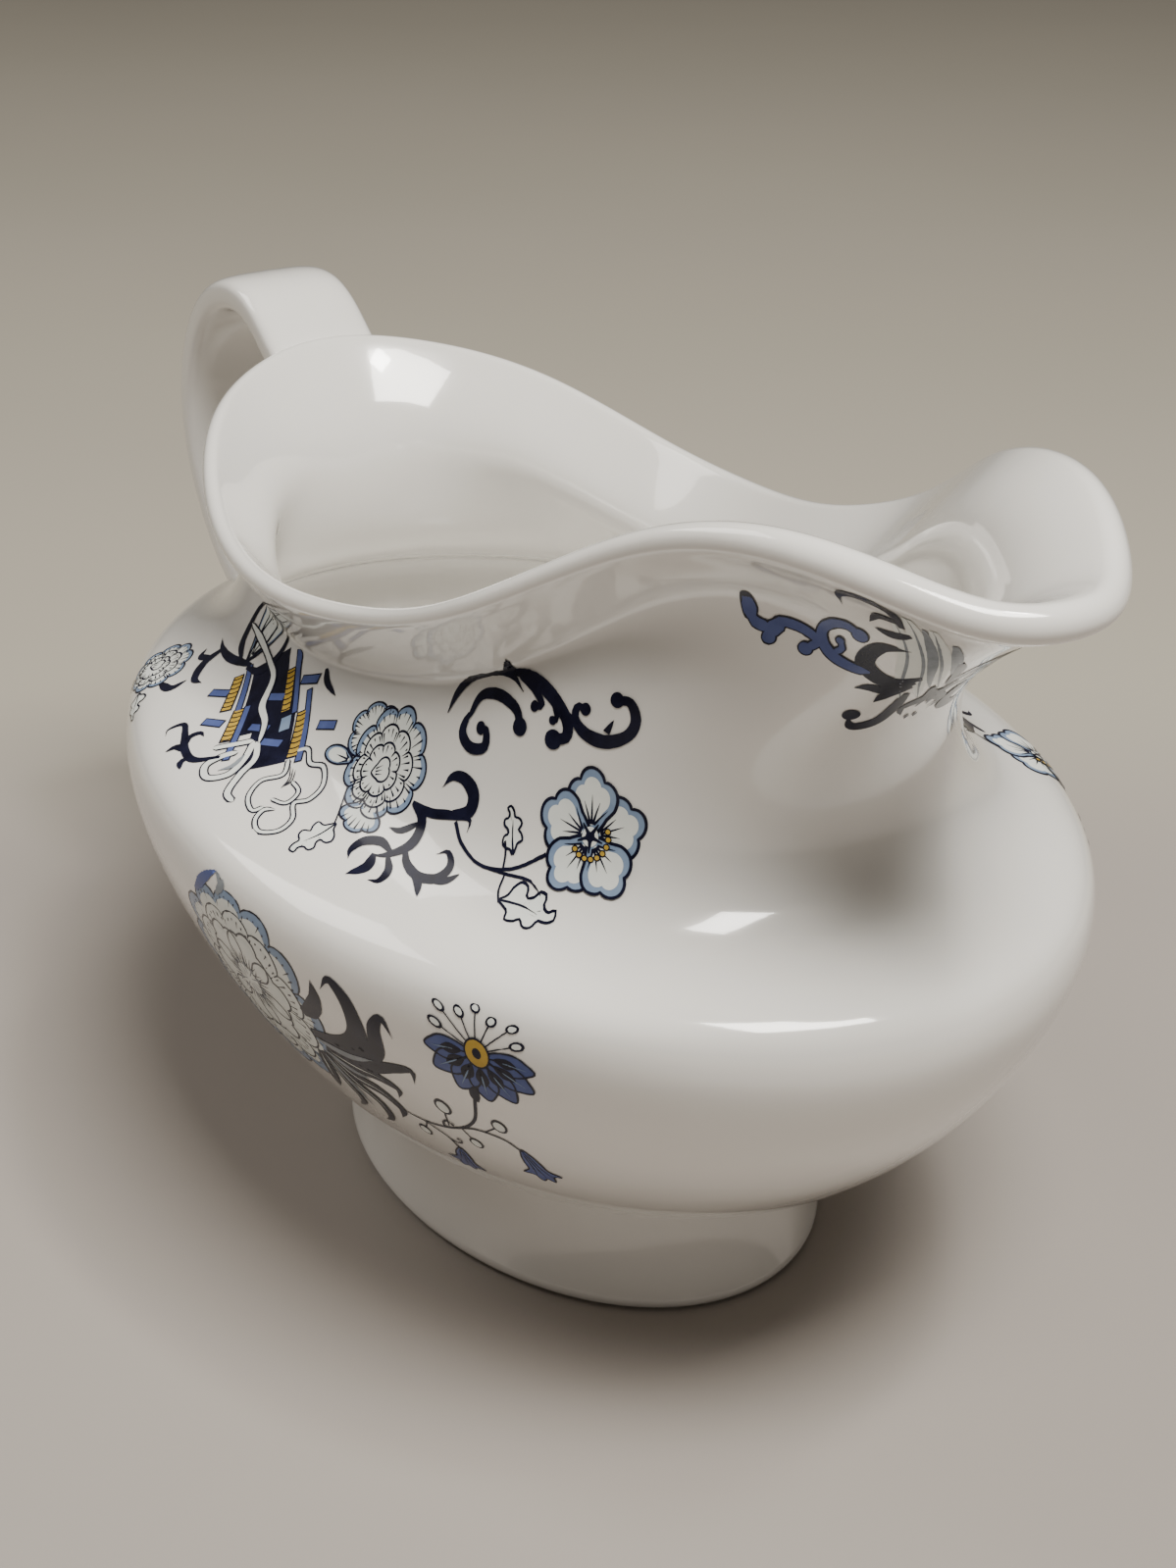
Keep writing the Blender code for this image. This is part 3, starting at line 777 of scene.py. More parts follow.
def curl(patch, start, heading, length, turn_rate, wind, width, colour="navy", ball=0.0, lift=0.085, outline=None):
    """A brushed scroll whose bend tightens towards its end, finished with a round drop."""
    s = np.linspace(0, length, max(8, int(length / 0.25)))
    a = math.radians(heading) + turn_rate * s / length + wind * (s / length) ** 3
    d = np.stack([np.cos(a), np.sin(a)], -1)
    p = np.asarray(start, float) + np.vstack([[0, 0], np.cumsum((d[1:] + d[:-1]) / 2 * np.diff(s)[:, None], 0)])
    if outline:
        stroke(patch, p, np.asarray(width) + outline, "navy", lift - 0.01, ends=(0.05, 0.0 if ball else 0.2), smooth=False)
        if ball:
            fill(patch, put(disc(ball + outline / 2), p[-1]), "navy", lift - 0.01)
    stroke(patch, p, width, colour, lift, ends=(0.05, 0.0 if ball else 0.2), smooth=False)
    if ball:
        fill(patch, put(disc(ball), p[-1]), colour, lift + 0.004)


def blade(patch, points, width, colour="navy", lift=0.075, rib=None):
    """A pointed acanthus lobe with an optional pale rib."""
    stroke(patch, points, (width * 0.45, width * 0.95, width, width * 0.7, 0.12), colour, lift, ends=(0, 0.12))
    if rib:
        q = curve(points)
        stroke(patch, q[int(len(q) * 0.08):int(len(q) * 0.7)], (0.12, width * 0.11, 0.08), rib, lift + 0.02, ends=(0.2, 0.4), smooth=False)


def leaf(patch, at, turn, size, body="white", line=0.24, lift=0.05):
    """A small open leaf with three curled lobes, drawn in outline."""
    half = [(0, 0.0), (0.6, 0.5), (0.9, 1.2), (1.5, 1.7), (2.2, 1.5), (2.4, 0.9), (3.0, 1.0), (3.5, 1.5), (4.2, 1.4), (4.3, 0.8), (4.9, 0.6), (5.5, 0.9)]
    low = [(5.7, 0.3), (5.0, -0.1), (4.3, -0.2), (4.0, -0.9), (3.3, -1.2), (2.7, -0.7), (2.2, -1.1), (1.4, -1.3), (1.2, -0.6), (0.6, -0.3)]
    o = put(curve(np.array(half + low) * 0.2, 0.06, closed=True), at, turn, size)
    fill(patch, o, body, lift, put([(0.5, 0.0)], at, turn, size)[0])
    stroke(patch, o, line, "navy", lift + 0.02, ends=(0, 0), smooth=False)
    stroke(patch, put([(0.0, 0.0), (0.45, 0.05), (0.8, 0.03)], at, turn, size), (line, line * 0.5), "navy", lift + 0.02, ends=(0, 0.3))


def cupped_flower(patch, at, radius, turn=0.0, lift=0.05):
    """A blue flower seen from the side: pointed petals hang in a fan, ochre eye, stamens stand up."""
    at = np.asarray(at, float)
    for k, a in enumerate((-172, -8, -146, -34, -118, -62, -90)):
        long = radius * (1.0 if abs(a + 90) > 60 else 1.08)
        o = [(0.12, 0.0), (0.35, 0.17), (0.62, 0.24), (0.84, 0.15), (1.0, 0.0), (0.84, -0.15), (0.62, -0.24), (0.35, -0.17)]
        out = put(curve(np.array(o), 0.05, closed=True), at, turn + a, long)
        mid = put([(0.55, 0)], at, turn + a, long)[0]
        up = lift + 0.003 * k
        fill(patch, out, "blue", up, mid)
        fill(patch, out, "navy", up + 0.014, mid - (mid - at) * 0.22, 0.46)
        stroke(patch, out, 0.2, "navy", up + 0.02, ends=(0, 0), smooth=False)
        stroke(patch, put([(0.45, 0), (0.86, 0)], at, turn + a, long), (0.2, 0.06), "mist", up + 0.026, ends=(0.2, 0.3))
    for k in range(7):
        a = 90 + (k - 3) * 21
        long = radius * (1.0 if k % 2 else 0.82)
        tip = put([(long, 0)], at, turn + a)[0]
        stroke(patch, put([(radius * 0.2, 0), (long * 0.86, 0)], at, turn + a), 0.14, "navy", lift + 0.02, ends=(0, 0))
        bud = put(disc(radius * 0.115, 12) * [1.35, 0.85], tip, turn + a)
        fill(patch, bud, "navy", lift + 0.03)
        fill(patch, bud, "white", lift + 0.042, size=0.62)
        fill(patch, put(disc(0.12, 8), tip + put([(radius * 0.13, 0)], (0, 0), turn + a)[0]), "navy", lift + 0.05)
    fill(patch, put(disc(radius * 0.29, 22) * [0.8, 1.1], at, turn), "navy", lift + 0.06)
    fill(patch, put(disc(radius * 0.25, 22) * [0.8, 1.1], at, turn), "ochre", lift + 0.068)
    fill(patch, put(disc(radius * 0.10, 16) * [0.8, 1.1], at, turn), "navy", lift + 0.076)


def ring_bud(patch, at, radius, stem, lift=0.06):
    fill(patch, put(disc(radius, 16) * [0.9, 1.15], at), "navy", lift)
    fill(patch, put(disc(radius * 0.72, 16) * [0.9, 1.15], at), "white", lift + 0.012)
    stroke(patch, [at, stem], 0.18, "navy", lift - 0.012, ends=(0, 0))


def bell(patch, at, turn, size, lift=0.055):
    """A drooping blue bell with a flared, pointed hem."""
    o = np.array([(0, 0), (0.9, 0.45), (1.9, 0.62), (2.9, 0.75), (3.6, 1.45), (3.75, 0.75), (4.7, 0.42), (4.2, 0.0), (4.7, -0.5), (3.7, -0.75),
                  (3.5, -1.5), (2.8, -0.75), (1.8, -0.62), (0.9, -0.42)]) / 4.7
    out = put(curve(o, 0.04, closed=True), at, turn, size)
    fill(patch, out, "blue", lift, put([(0.55, 0)], at, turn, size)[0])
    stroke(patch, out, 0.18, "navy", lift + 0.014, ends=(0, 0), smooth=False)
    for f in (-0.06, 0.0, 0.06):
        stroke(patch, put([(0.12, f * 0.5), (0.5, f), (0.85, f * 2.2)], at, turn, size), 0.12, "navy", lift + 0.016, ends=(0.1, 0.3))


def band(patch, points, width, line=0.2, body="white", lift=0.06):
    """A ribbon: a pale band with inked edges."""
    stroke(patch, points, np.asarray(width) + line * 2, "navy", lift, ends=(0.03, 0.03))
    stroke(patch, points, width, body, lift + 0.014, ends=(0.04, 0.04))


def shoulder_spray(p, open_end=True):
    """Bloom, scrolls, sprig and the open blossom's stem and leaves, along the shoulder."""
    ruffle(p, (-8.2, 1.9), 4.6, 7, 20, 0.72, 0.018, "mist", "white", ticks=6)
    petal(p, (-3.6, -3.2), -84, 4.4, 5.8, 0.026, lobes=3, veins=6, line=0.24, rim_veins=True)
    petal(p, (-9.4, -1.4), 186, 4.6, 2.2, 0.026, lobes=1, veins=3, line=0.22)
    bloom(p, (-4.4, 0.3), 5.9, 12, 0.98)
    # dark scrolls climbing the neck
    drop_scroll(p, [(1.4, 7.6), (1.7, 10.4), (3.4, 12.9), (6.4, 14.1), (10.0, 14.5), (13.4, 14.2), (15.9, 13.0), (16.5, 11.4), (15.2, 10.6)],
                (0.5, 1.2, 1.5, 1.5, 1.2, 1.2, 1.3, 1.2, 1.0), 0.95)
    stroke(p, [(7.6, 14.2), (6.4, 15.8), (5.2, 18.4), (4.2, 20.6)], (1.7, 1.1, 0.8, 0.3), "navy", 0.085, ends=(0, 0.2))
    stroke(p, [(2.0, 11.8), (4.6, 13.4), (8.0, 13.7), (10.4, 13.0)], (0.5, 0.9, 0.8, 0.3), "navy", 0.085)
    drop_scroll(p, [(4.6, 8.2), (5.2, 10.6), (7.6, 11.6), (10.2, 11.4), (11.2, 10.2)], (0.5, 0.9, 1.0, 1.0, 0.9), 0.85)
    drop_scroll(p, [(4.4, 8.8), (4.4, 6.9), (6.0, 6.1), (7.7, 6.8), (7.4, 8.2), (6.6, 8.2)], (0.6, 1.1, 1.1, 1.0, 0.7), 0.62)
    drop_scroll(p, [(9.0, 14.2), (11.4, 13.8), (13.0, 13.0), (12.2, 12.5)], (0.8, 0.8, 0.7, 0.6), 0.5)
    drop_scroll(p, [(14.0, 14.0), (15.0, 12.6), (14.6, 12.2)], (0.7, 0.6, 0.5), 0.42)
    drop_scroll(p, [(16.0, 13.6), (18.2, 12.4), (20.6, 12.3), (22.6, 13.5), (23.0, 15.2), (22.0, 16.7), (20.6, 16.5)],
                (0.3, 1.1, 1.4, 1.4, 1.2, 1.0, 0.8), 0.72)
    drop_scroll(p, [(20.8, 12.6), (18.6, 12.5), (17.0, 13.2), (16.8, 14.4), (17.7, 14.5)], (0.7, 0.9, 0.9, 0.8, 0.6), 0.58)
    stroke(p, [(20.4, 13.2), (20.8, 14.6)], (0.8, 0.2), "navy", 0.085, ends=(0, 0.3))
    # dark leafy sprig
    blade(p, [(1.4, -1.3), (4.0, -1.2), (6.4, -0.4), (8.8, 0.2), (9.2, -0.9)], 0.95)
    blade(p, [(6.6, -0.2), (8.4, 0.8), (8.2, 2.4), (6.6, 3.2), (5.0, 2.8), (4.2, 1.4)], 1.45)
    blade(p, [(1.6, -1.3), (3.6, -2.2), (4.2, -4.6), (2.8, -7.2), (1.4, -8.4)], 1.2)
    blade(p, [(4.0, -5.4), (5.4, -6.6), (7.4, -7.0), (9.2, -6.0), (9.6, -4.2), (8.4, -3.2), (7.4, -4.0)], 1.2)
    blade(p, [(8.8, -6.6), (10.2, -5.6), (11.0, -4.2)], 0.8)
    blade(p, [(6.6, -6.9), (8.0, -7.6), (9.2, -9.0)], 1.0)
    blade(p, [(2.8, -6.6), (1.0, -6.4), (-0.6, -7.6), (-0.9, -9.4), (-0.2, -10.6)], 1.2)
    blade(p, [(1.6, -8.0), (2.2, -10.0), (1.2, -12.4)], 1.25)
    blade(p, [(3.0, -7.2), (4.4, -8.6), (4.6, -10.4), (3.6, -11.2)], 0.95)
    blade(p, [(3.4, -2.6), (2.0, -4.2), (0.6, -4.6)], 0.75)
    # the little open leaf below
    stroke(p, [(-7.8, -3.6), (-6.2, -6.2), (-5.2, -8.0)], 0.2, "navy", 0.07, ends=(0.2, 0))
    leaf(p, (-5.0, -7.9), -104, 5.8)
    # stem and leaves; the blossom itself is drawn on a patch of its own
    if not open_end:
        stroke(p, [(7.4, -0.6), (9.0, -3.0), (10.6, -5.6), (12.4, -8.4)], (0.4, 0.3, 0.28, 0.34), "navy", 0.075, ends=(0, 0))
        return
    stroke(p, [(7.4, -0.6), (9.2, -1.9), (12.2, -2.5), (15.4, -1.4), (18.4, 0.9)], (0.4, 0.3, 0.28, 0.34), "navy", 0.075, ends=(0, 0))
    stroke(p, [(12.6, -2.5), (15.2, -1.9), (17.8, -1.2), (19.8, -1.4)], (0.26, 0.2), "navy", 0.075, ends=(0, 0.3))
    stroke(p, [(14.8, -1.8), (14.2, -0.6), (13.6, 0.2)], 0.22, "navy", 0.075, ends=(0, 0))
    leaf(p, (15.0, -0.4), 118, 3.6)
    leaf(p, (16.2, -3.8), 14, 5.6)
    stroke(p, [(15.2, -1.9), (15.6, -3.2), (16.4, -4.0)], 0.22, "navy", 0.075, ends=(0, 0))


def ribbon_knot(p):
    """Looped ribbons and cloud-shaped bows between the panel and the shoulder's edge."""
    band(p, [(-18.2, -4.2), (-16.6, -2.9), (-14.6, -4.0), (-12.6, -3.5), (-10.6, -5.2), (-10.4, -7.6), (-11.4, -9.2), (-9.6, -11.0), (-9.4, -13.4),
             (-11.0, -15.0), (-12.8, -14.2), (-13.4, -12.4), (-12.4, -11.4)], 0.42)
    band(p, [(-17.6, -5.0), (-16.2, -7.0), (-17.6, -9.4), (-16.6, -12.2), (-14.4, -13.4), (-13.8, -12.0)], 0.42)
    band(p, [(-14.4, -7.0), (-12.4, -7.6), (-12.2, -9.8), (-14.2, -10.6)], 0.36)
    for k in range(3):
        stroke(p, [(-16.4 + 0.5 * k, -5.6), (-15.0 + 0.3 * k, -7.0), (-14.6, -8.6 + 0.2 * k)], 0.15, "navy", 0.09)
    band(p, [(-23.6, -5.4), (-21.4, -7.4), (-20.6, -10.4), (-19.2, -13.4), (-17.4, -14.0)], 0.75)
    band(p, [(-24.0, -5.6), (-22.4, -8.4), (-21.8, -11.4), (-23.4, -13.4), (-25.4, -12.2), (-25.2, -9.8), (-24.2, -8.0)], 0.8)
    stroke(p, [(-23.0, -7.8), (-22.6, -10.0), (-23.4, -11.8)], (0.5, 0.7, 0.2), "grey", 0.09)
    band(p, [(-24.2, -5.6), (-26.2, -8.0), (-27.4, -9.6)], 0.7)


def basket_panel(p):
    """A slatted panel, dark ground, blue bars and ochre corded bands, tied with a pale ribbon."""
    def quad_of(c, long, wide, turn, colour, lift, line=0.0):
        o = np.array([(-long / 2, -wide / 2), (long / 2, -wide / 2), (long / 2, wide / 2), (-long / 2, wide / 2)])
        n = 10
        o = np.concatenate([np.linspace(o[i], o[(i + 1) % 4], n, endpoint=False) for i in range(4)])
        o = put(o, c, turn)
        if line:
            fill(p, o, "navy", lift - 0.012, c)
            o = np.asarray(c) + (o - np.asarray(c)) * [1, 1]
            inner = np.array([(-long / 2 + line, -wide / 2 + line), (long / 2 - line, -wide / 2 + line),
                              (long / 2 - line, wide / 2 - line), (-long / 2 + line, wide / 2 - line)])
            inner = np.concatenate([np.linspace(inner[i], inner[(i + 1) % 4], n, endpoint=False) for i in range(4)])
            fill(p, put(inner, c, turn), colour, lift, c)
        else:
            fill(p, o, colour, lift, c)

    def cord(c, long, turn):
        quad_of(c, long, 1.5, turn, "ochre", 0.075, 0.2)
        for k in range(int(long / 0.72)):
            x = -long / 2 + 0.5 + 0.72 * k
            stroke(p, put([(x, -0.55), (x + 0.12, 0), (x, 0.55)], c, turn), 0.17, "navy", 0.088, ends=(0, 0))

    quad_of((3.4, 3.8), 10.5, 5.6, -33, "navy", 0.04)
    quad_of((9.6, 2.0), 10.0, 5.2, -33, "navy", 0.042)
    for c, long, turn in (((0.6, 1.4), 10.2, -33), ((5.8, 7.4), 9.0, -33), ((12.6, 5.2), 9.6, -35), ((6.0, -0.9), 8.6, -35)):
        quad_of(c, long, 0.95, turn, "blue", 0.07, 0.16)
    for c, long in (((-1.4, 0.9), 5.6), ((4.2, -0.9), 5.2), ((5.8, 6.0), 6.0), ((12.8, 4.0), 6.2)):
        cord(c, long, -36)
    for c in ((-3.2, -0.2), (1.6, -2.4), (7.6, 8.6), (15.4, 7.0), (11.0, 1.4), (4.8, 4.4), (7.4, 1.2)):
        quad_of(c, 3.0, 1.2, 32, "blue", 0.066, 0.16)
    quad_of((9.8, 3.6), 2.2, 1.6, -33, "mist", 0.072, 0.16)
    band(p, [(-9.4, 7.4), (-5.4, 7.0), (-0.8, 6.2), (1.8, 5.4), (4.2, 2.8), (7.2, 2.0), (9.8, 0.4)], (0.3, 0.8, 0.6, 0.7, 0.9, 0.7, 0.4), lift=0.095)
    # sprigs below and beside it
    blade(p, [(8.4, -3.6), (6.4, -6.0), (3.6, -6.2), (0.8, -5.4), (-1.2, -5.0), (-1.8, -6.6), (-0.8, -7.2)], 0.95)
    blade(p, [(3.4, -6.2), (1.9, -5.2), (2.2, -4.0), (3.2, -3.9)], 0.8)
    blade(p, [(4.0, -6.2), (2.4, -6.8), (2.2, -8.0)], 0.9)
    blade(p, [(5.6, -6.2), (5.6, -7.2), (6.8, -7.6)], 0.8)
    blade(p, [(-3.6, 4.2), (-8.0, 2.8), (-11.4, 2.6), (-13.6, 3.2)], 1.1, "navy")
    blade(p, [(-11.4, 2.6), (-11.6, 0.2), (-9.4, -1.6), (-7.6, -1.2)], 1.3)
    blade(p, [(-11.6, 1.0), (-13.6, 0.2), (-14.4, 1.2)], 0.9)
    blade(p, [(8.6, 10.4), (10.6, 9.8), (13.4, 9.7)], 0.7)


def neck_bud(p):
    """A long-petalled bud standing on the neck above the panel."""
    for t, L, W in ((96, 9.5, 3.2), (78, 9.0, 2.9), (112, 9.0, 2.9)):
        petal(p, (0.6, -4.2), t, L, W, 0.035 + 0.004 * (t == 96), lobes=1, veins=3, line=0.24)
    petal(p, (0.6, -4.4), 92, 6.2, 2.6, 0.055, lobes=1, edge="white", veins=3, line=0.24)
    blade(p, [(-0.6, -4.6), (-3.4, -3.0), (-4.4, 0.4), (-3.0, 2.6)], 1.0, "navy")
    blade(p, [(1.6, -4.6), (4.4, -3.6), (5.2, -0.6), (4.0, 1.8)], 1.0, "navy")
    curl(p, (1.0, 4.0), 80, 6.0, -0.8, -2.6, (0.8, 1.0, 0.7), "blue", 0.6, outline=0.3)


def side_bloom(p, at, r):
    bloom(p, at, r, 40, 0.9)
    leaf(p, (at[0] + r * 0.9, at[1] - r * 0.5), -20, r * 0.95)
    leaf(p, (at[0] - r * 0.4, at[1] - r * 0.95), -110, r * 0.8)
    blade(p, [(at[0] + r, at[1] + 0.4), (at[0] + r + 2.2, at[1] + 1.6), (at[0] + r + 2.0, at[1] + 3.6)], 1.1)


def bowl_spray(p):
    """Below the shoulder: the great pale bloom, acanthus, the blue flower, buds and bells."""
    ruffle(p, (-22.4, -4.0), 12.6, 12, 8, 1.0, 0.03, "mist", "white", ticks=6)
    ruffle(p, (-22.0, -4.2), 9.8, 10, 20, 1.0, 0.046, "white", "white", ticks=6)
    for k in range(6):
        petal(p, (-22.2, -4.0), 60 * k + 14, 7.4, 7.2, 0.062 + 0.001 * k, lobes=3, edge="white", veins=6, line=0.24)
    fill(p, put(disc(2.0), (-22.4, -4.0)), "white", 0.094)
    for k in range(12):
        a = math.radians(30 * k)
        c = (-22.4 + 2.5 * math.cos(a), -4.0 + 2.2 * math.sin(a))
        fill(p, put(disc(0.34, 10), c), "grey", 0.104)
        stroke(p, [(-22.4 + 0.6 * math.cos(a), -4.0 + 0.6 * math.sin(a)), c], 0.16, "grey", 0.1)
    # dark acanthus with pale ribs
    for pts, w in (([(-12.6, -2.2), (-10.8, -0.8), (-9.6, 1.4), (-9.8, 3.6)], 2.1),
                   ([(-12.4, -5.0), (-7.6, -3.8), (-4.6, -0.8), (-4.8, 3.0), (-7.0, 5.0), (-8.4, 3.2)], 2.6),
                   ([(-11.6, -5.6), (-6.0, -4.4), (-2.6, -1.6), (-1.8, 1.8), (-0.6, 3.4), (0.4, 1.4)], 2.3),
                   ([(-11.0, -6.4), (-5.4, -5.4), (-1.0, -3.2), (1.4, -2.4), (1.2, -4.4)], 1.7),
                   ([(-11.2, -6.8), (-7.2, -6.8), (-4.0, -6.4), (-1.8, -7.0), (-2.4, -8.8)], 1.6),
                   ([(-11.4, -7.4), (-8.6, -9.2), (-5.0, -9.4), (-3.2, -11.4), (-4.2, -13.8)], 1.8),
                   ([(-11.8, -7.8), (-9.2, -10.6), (-6.6, -12.8), (-6.8, -16.0), (-8.6, -18.0)], 1.5),
                   ([(-12.4, -8.0), (-11.2, -12.0), (-10.6, -15.6), (-12.6, -18.6)], 1.3),
                   ([(-13.0, -8.4), (-13.6, -12.6), (-14.6, -16.6)], 1.8)):
        blade(p, pts, w, "navy", 0.07, "white" if pts[1][1] < -6 or pts[0][1] < -6.5 else None)
    for pts, w in (([(-12.0, -5.8), (-7.4, -5.2), (-3.6, -3.6)], 0.9), ([(-11.6, -7.2), (-8.0, -8.0), (-5.4, -7.6)], 0.8),
                   ([(-12.0, -8.2), (-9.8, -12.4), (-8.6, -15.4)], 0.8)):
        blade(p, pts, w, "grey", 0.094)
    # stems, blue flower, buds and bells
    stroke(p, [(-3.6, -11.2), (0.4, -11.4), (4.4, -9.8), (7.0, -7.0), (8.3, -3.0)], (0.2, 0.28, 0.34, 0.36), "navy", 0.07, ends=(0.1, 0))
    blade(p, [(8.4, -3.4), (8.5, -2.0), (9.2, -0.8)], 1.1)
    stroke(p, [(3.8, -10.1), (6.6, -8.9), (9.4, -9.3), (10.9, -11.0)], 0.26, "navy", 0.07, ends=(0, 0))
    stroke(p, [(-0.6, -11.4), (1.6, -13.2), (2.2, -15.6)], 0.26, "navy", 0.07, ends=(0, 0))
    cupped_flower(p, (10.0, 3.6), 5.8, 0)
    ring_bud(p, (3.6, -6.6), 1.05, (3.0, -10.2))
    ring_bud(p, (9.7, -6.9), 0.95, (7.4, -9.0))
    ring_bud(p, (5.4, -12.2), 0.85, (4.6, -9.9))
    ring_bud(p, (-1.4, -14.0), 0.85, (-0.2, -11.6))
    curl(p, (2.4, -10.8), 100, 2.6, -1.2, -2.0, (0.3, 0.2), ball=0.2)
    curl(p, (1.8, -13.6), -30, 2.4, 1.4, 2.0, (0.3, 0.2), ball=0.2)
    bell(p, (10.9, -10.6), -82, 7.2)
    bell(p, (2.3, -15.2), -104, 7.0)
    # the leafy tip that climbs beyond the bloom
    blade(p, [(-31.0, 4.0), (-29.0, 8.0), (-27.0, 12.0)], 1.8, "blue")
    blade(p, [(-26.0, 6.6), (-25.4, 9.2), (-27.4, 11.8)], 1.4, "grey")


def spout_plume(p):
    """A blue scroll and a dark and grey plume on the neck's side under the lip."""
    for pts, w in (([(3.0, 11.0), (3.4, 4.0), (3.0, -2.0), (3.4, -6.6)], 2.0), ([(5.0, 10.0), (4.8, 4.0), (4.8, -1.0), (5.4, -6.0)], 1.6),
                   ([(1.6, 9.0), (2.2, 4.0), (1.4, -1.4), (1.4, -5.4)], 1.5)):
        blade(p, pts, w, "white", 0.05)
        stroke(p, pts, (0.16, 0.3, 0.2), "grey", 0.072)
    for pts, w in (([(4.2, 9.6), (4.2, 4.6), (3.9, -0.6), (4.3, -4.8)], 0.9), ([(6.2, 7.4), (6.0, 2.0), (6.2, -3.0)], 1.0)):
        blade(p, pts, w, "grey", 0.066)
    drop_scroll(p, [(-1.0, 0.3), (-2.4, 0.5), (-4.0, 1.2), (-5.1, 2.4), (-5.3, 3.8), (-4.4, 4.8), (-3.0, 5.2), (-1.8, 4.6)],
                (0.9, 1.0, 1.1, 1.0, 0.9, 0.8, 0.8), 0.72, colour="blue", edge=0.16)
    drop_scroll(p, [(-4.9, 2.0), (-6.0, 2.8), (-7.6, 3.3), (-9.4, 3.2), (-10.6, 2.4), (-12.0, 2.6), (-12.6, 3.4)],
                (0.6, 0.9, 0.9, 0.8, 0.9, 0.8), 0.72, colour="blue", edge=0.16)
    drop_scroll(p, [(-5.4, 2.6), (-6.0, 1.9), (-6.7, 1.3)], (0.8, 0.8, 0.6), 0.62, colour="blue", edge=0.16)
    drop_scroll(p, [(-9.0, 3.1), (-9.7, 2.2), (-10.3, 1.5)], (0.7, 0.8, 0.6), 0.66, colour="blue", edge=0.16)
    drop_scroll(p, [(-4.2, 1.6), (-3.4, 2.4), (-3.6, 3.2)], (0.5, 0.6, 0.4), 0.36, colour="blue", edge=0.14)
    blade(p, [(3.2, -0.6), (0.4, -0.8), (-1.4, 1.4), (0.0, 3.8), (2.6, 4.4)], 1.8)
    blade(p, [(2.6, -1.4), (0.4, -2.2), (-1.2, -1.8), (-2.4, -2.0)], 1.4)
    blade(p, [(2.4, -2.2), (0.6, -2.8), (-1.0, -4.2)], 1.5)
    blade(p, [(2.0, -3.8), (1.0, -6.6), (-0.6, -8.4), (-3.0, -8.0), (-3.2, -6.0)], 1.7)
    fill(p, put(disc(0.8), (-2.9, -6.0)), "navy", 0.085)
    blade(p, [(4.8, -4.8), (4.4, -7.2), (2.0, -7.6), (2.0, -9.4)], 1.4)
    blade(p, [(5.0, -6.2), (5.4, -8.2), (5.0, -9.8)], 1.2)
    blade(p, [(6.4, 2.0), (6.7, -2.0), (6.2, -6.4)], 1.2)
    fill(p, put(disc(0.34, 10), (4.0, -11.0)), "navy", 0.08)
    blade(p, [(2.2, 8.0), (1.4, 11.0), (-1.4, 11.4), (-3.2, 9.6), (-3.2, 7.8)], 1.3)
    blade(p, [(2.4, 8.8), (0.2, 8.6), (-0.8, 7.0)], 0.9)
    blade(p, [(2.8, 7.0), (1.2, 6.2), (-0.4, 6.4)], 1.0)


def decorate(flip):
    side = "far" if flip else "near"
    a = Patch("shoulder_" + side, (15.83, -27.64, 58.85), flip)
    shoulder_spray(a, not flip)
    ribbon_knot(a)
    b = Patch("bowl_" + side, (29.7, -37.48, 41.12), flip)
    bowl_spray(b)
    c = Patch("lip_" + side, (56.66, -6.57, 80.75), flip)
    spout_plume(c)
    d = Patch("panel_" + side, (-16.81, -31.38, 54.53), flip)
    basket_panel(d)
    # the open blossom sits lower on the far side, where the pattern was laid a little askew
    g = Patch("blossom_" + side, (29.3, -36.2, 50.8) if flip else (35.8, -20.6, 60.7), flip)
    blossom(g, (0.0, 0.0), 5.1, 22, 1.2)
    e = Patch("bud_" + side, (-21.4, -24.6, 60.0), flip)
    neck_bud(e)
    f = Patch("back_" + side, (-34.5, -31.6, 51.6), flip)
    side_bloom(f, (0.0, 0.0), 4.6)
    for patch in (a, b, c, d, e, f, g):
        patch.finish()


decorate(False)
decorate(True)

# ------------------------------------------------------------------ stage, light, camera
def stage_material(name, a, b, rough):
    mat = bpy.data.materials.new(name)
    mat.use_nodes = True
    nt = mat.node_tree
    sh = nt.nodes["Principled BSDF"]
    tc = nt.nodes.new("ShaderNodeTexCoord").outputs["Object"]
    n = noise(nt, tc, 6.0, 5.0)
    c = ramp(nt, n.outputs["Fac"], [(0.3, a), (0.7, b)])
    nt.links.new(c.outputs["Color"], sh.inputs["Base Color"])
    socket(sh, "Roughness", rough)
    return mat


def quad(name, corners, mat):
    mesh = bpy.data.meshes.new(name)
    mesh.from_pydata(corners, [], [(0, 1, 2, 3)])
    obj = new_object(name, mesh)
    mesh.materials.append(mat)
    return obj


AZ, PITCH, ROLL = math.radians(58.35), math.radians(27.01), math.radians(0.32)
forward = Vector((-math.sin(AZ) * math.cos(PITCH), math.cos(AZ) * math.cos(PITCH), -math.sin(PITCH)))
level = Vector((math.cos(AZ), math.sin(AZ), 0))
upward = level.cross(forward)
right = level * math.cos(ROLL) + upward * math.sin(ROLL)
up_r = right.cross(forward)

flat = Vector((forward.x, forward.y, 0)).normalized()


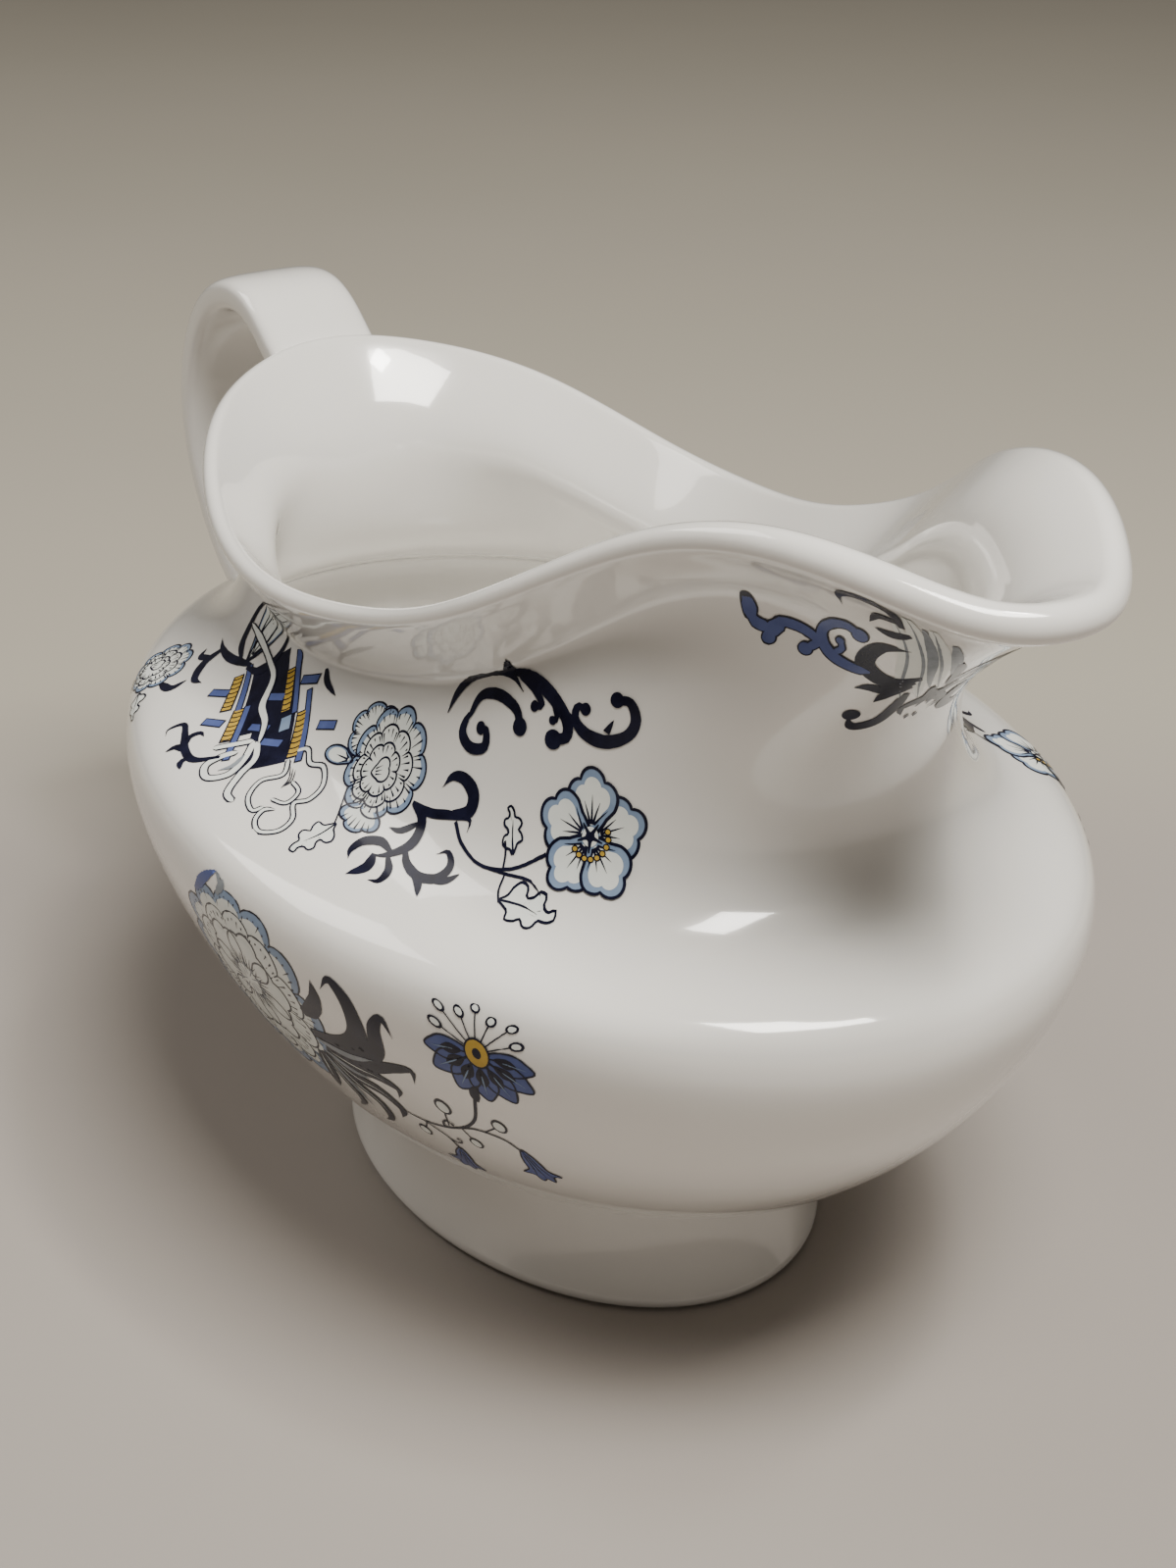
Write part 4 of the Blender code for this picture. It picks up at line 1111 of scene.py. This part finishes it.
def floor_material():
    """Pale and plain, warming softly from taupe near the jug to a lighter cream further away."""
    mat = stage_material("pale_floor", (0.350, 0.318, 0.290), (0.372, 0.338, 0.308), 0.75)
    nt = mat.node_tree
    sh = nt.nodes["Principled BSDF"]
    near = sh.inputs["Base Color"].links[0].from_socket
    tc = nt.nodes.new("ShaderNodeTexCoord").outputs["Object"]
    n = noise(nt, tc, 6.0, 5.0)
    far = ramp(nt, n.outputs["Fac"], [(0.3, (0.445, 0.412, 0.345)), (0.7, (0.465, 0.430, 0.360))])
    dot = nt.nodes.new("ShaderNodeVectorMath")
    dot.operation = "DOT_PRODUCT"
    nt.links.new(tc, dot.inputs[0])
    dot.inputs[1].default_value = tuple(flat)
    span = nt.nodes.new("ShaderNodeMapRange")
    span.interpolation_type = "SMOOTHSTEP"
    span.inputs["From Min"].default_value = 0.045
    span.inputs["From Max"].default_value = 0.125
    nt.links.new(dot.outputs["Value"], span.inputs["Value"])
    mix = nt.nodes.new("ShaderNodeMix")
    mix.data_type = "RGBA"
    nt.links.new(span.outputs["Result"], mix.inputs["Factor"])
    nt.links.new(near, mix.inputs[6])
    nt.links.new(far.outputs["Color"], mix.inputs[7])
    nt.links.new(mix.outputs[2], sh.inputs["Base Color"])
    return mat


quad("stage_floor", [(-3.0, -3.0, 0.0), (3.0, -3.0, 0.0), (3.0, 3.0, 0.0), (-3.0, 3.0, 0.0)], floor_material())


def area(name, place, target, size, power, colour):
    data = bpy.data.lights.new(name, "AREA")
    data.shape = "RECTANGLE"
    data.size, data.size_y = size
    data.energy = power
    data.color = colour
    obj = bpy.data.objects.new(name, data)
    bpy.context.scene.collection.objects.link(obj)
    obj.location = place
    obj.rotation_euler = (Vector(target) - Vector(place)).to_track_quat("-Z", "Y").to_euler()
    return obj


area("top_soft", (0.29, 0.0, 0.68), (0.01, 0, 0.03), (0.34, 0.24), 7.4, (1.0, 0.968, 0.905))
area("high_spot", (0.16, 0.10, 0.58), (0.05, -0.01, 0.05), (0.05, 0.05), 0.5, (1.0, 0.97, 0.93))
area("side_soft", (-0.46, -0.36, 0.60), (0, 0, 0.04), (0.34, 0.34), 1.7, (1.0, 0.96, 0.90))

world = bpy.data.worlds.new("studio")
world.use_nodes = True
world.node_tree.nodes["Background"].inputs["Color"].default_value = (0.60, 0.555, 0.50, 1.0)
world.node_tree.nodes["Background"].inputs["Strength"].default_value = 0.20
bpy.context.scene.world = world

cam_data = bpy.data.cameras.new("photo_view")
cam_data.sensor_fit = "VERTICAL"
cam_data.sensor_height = 36.0
cam_data.lens = 2500.0 / 1599.0 * 36.0
cam_data.clip_start = 0.01
cam = bpy.data.objects.new("photo_view", cam_data)
bpy.context.scene.collection.objects.link(cam)
basis = Matrix((right, up_r, -forward)).transposed().to_4x4()
basis.translation = Vector(((194.66 + SHIFT) * MM, -118.91 * MM, 161.0 * MM))
cam.matrix_world = basis
bpy.context.scene.camera = cam
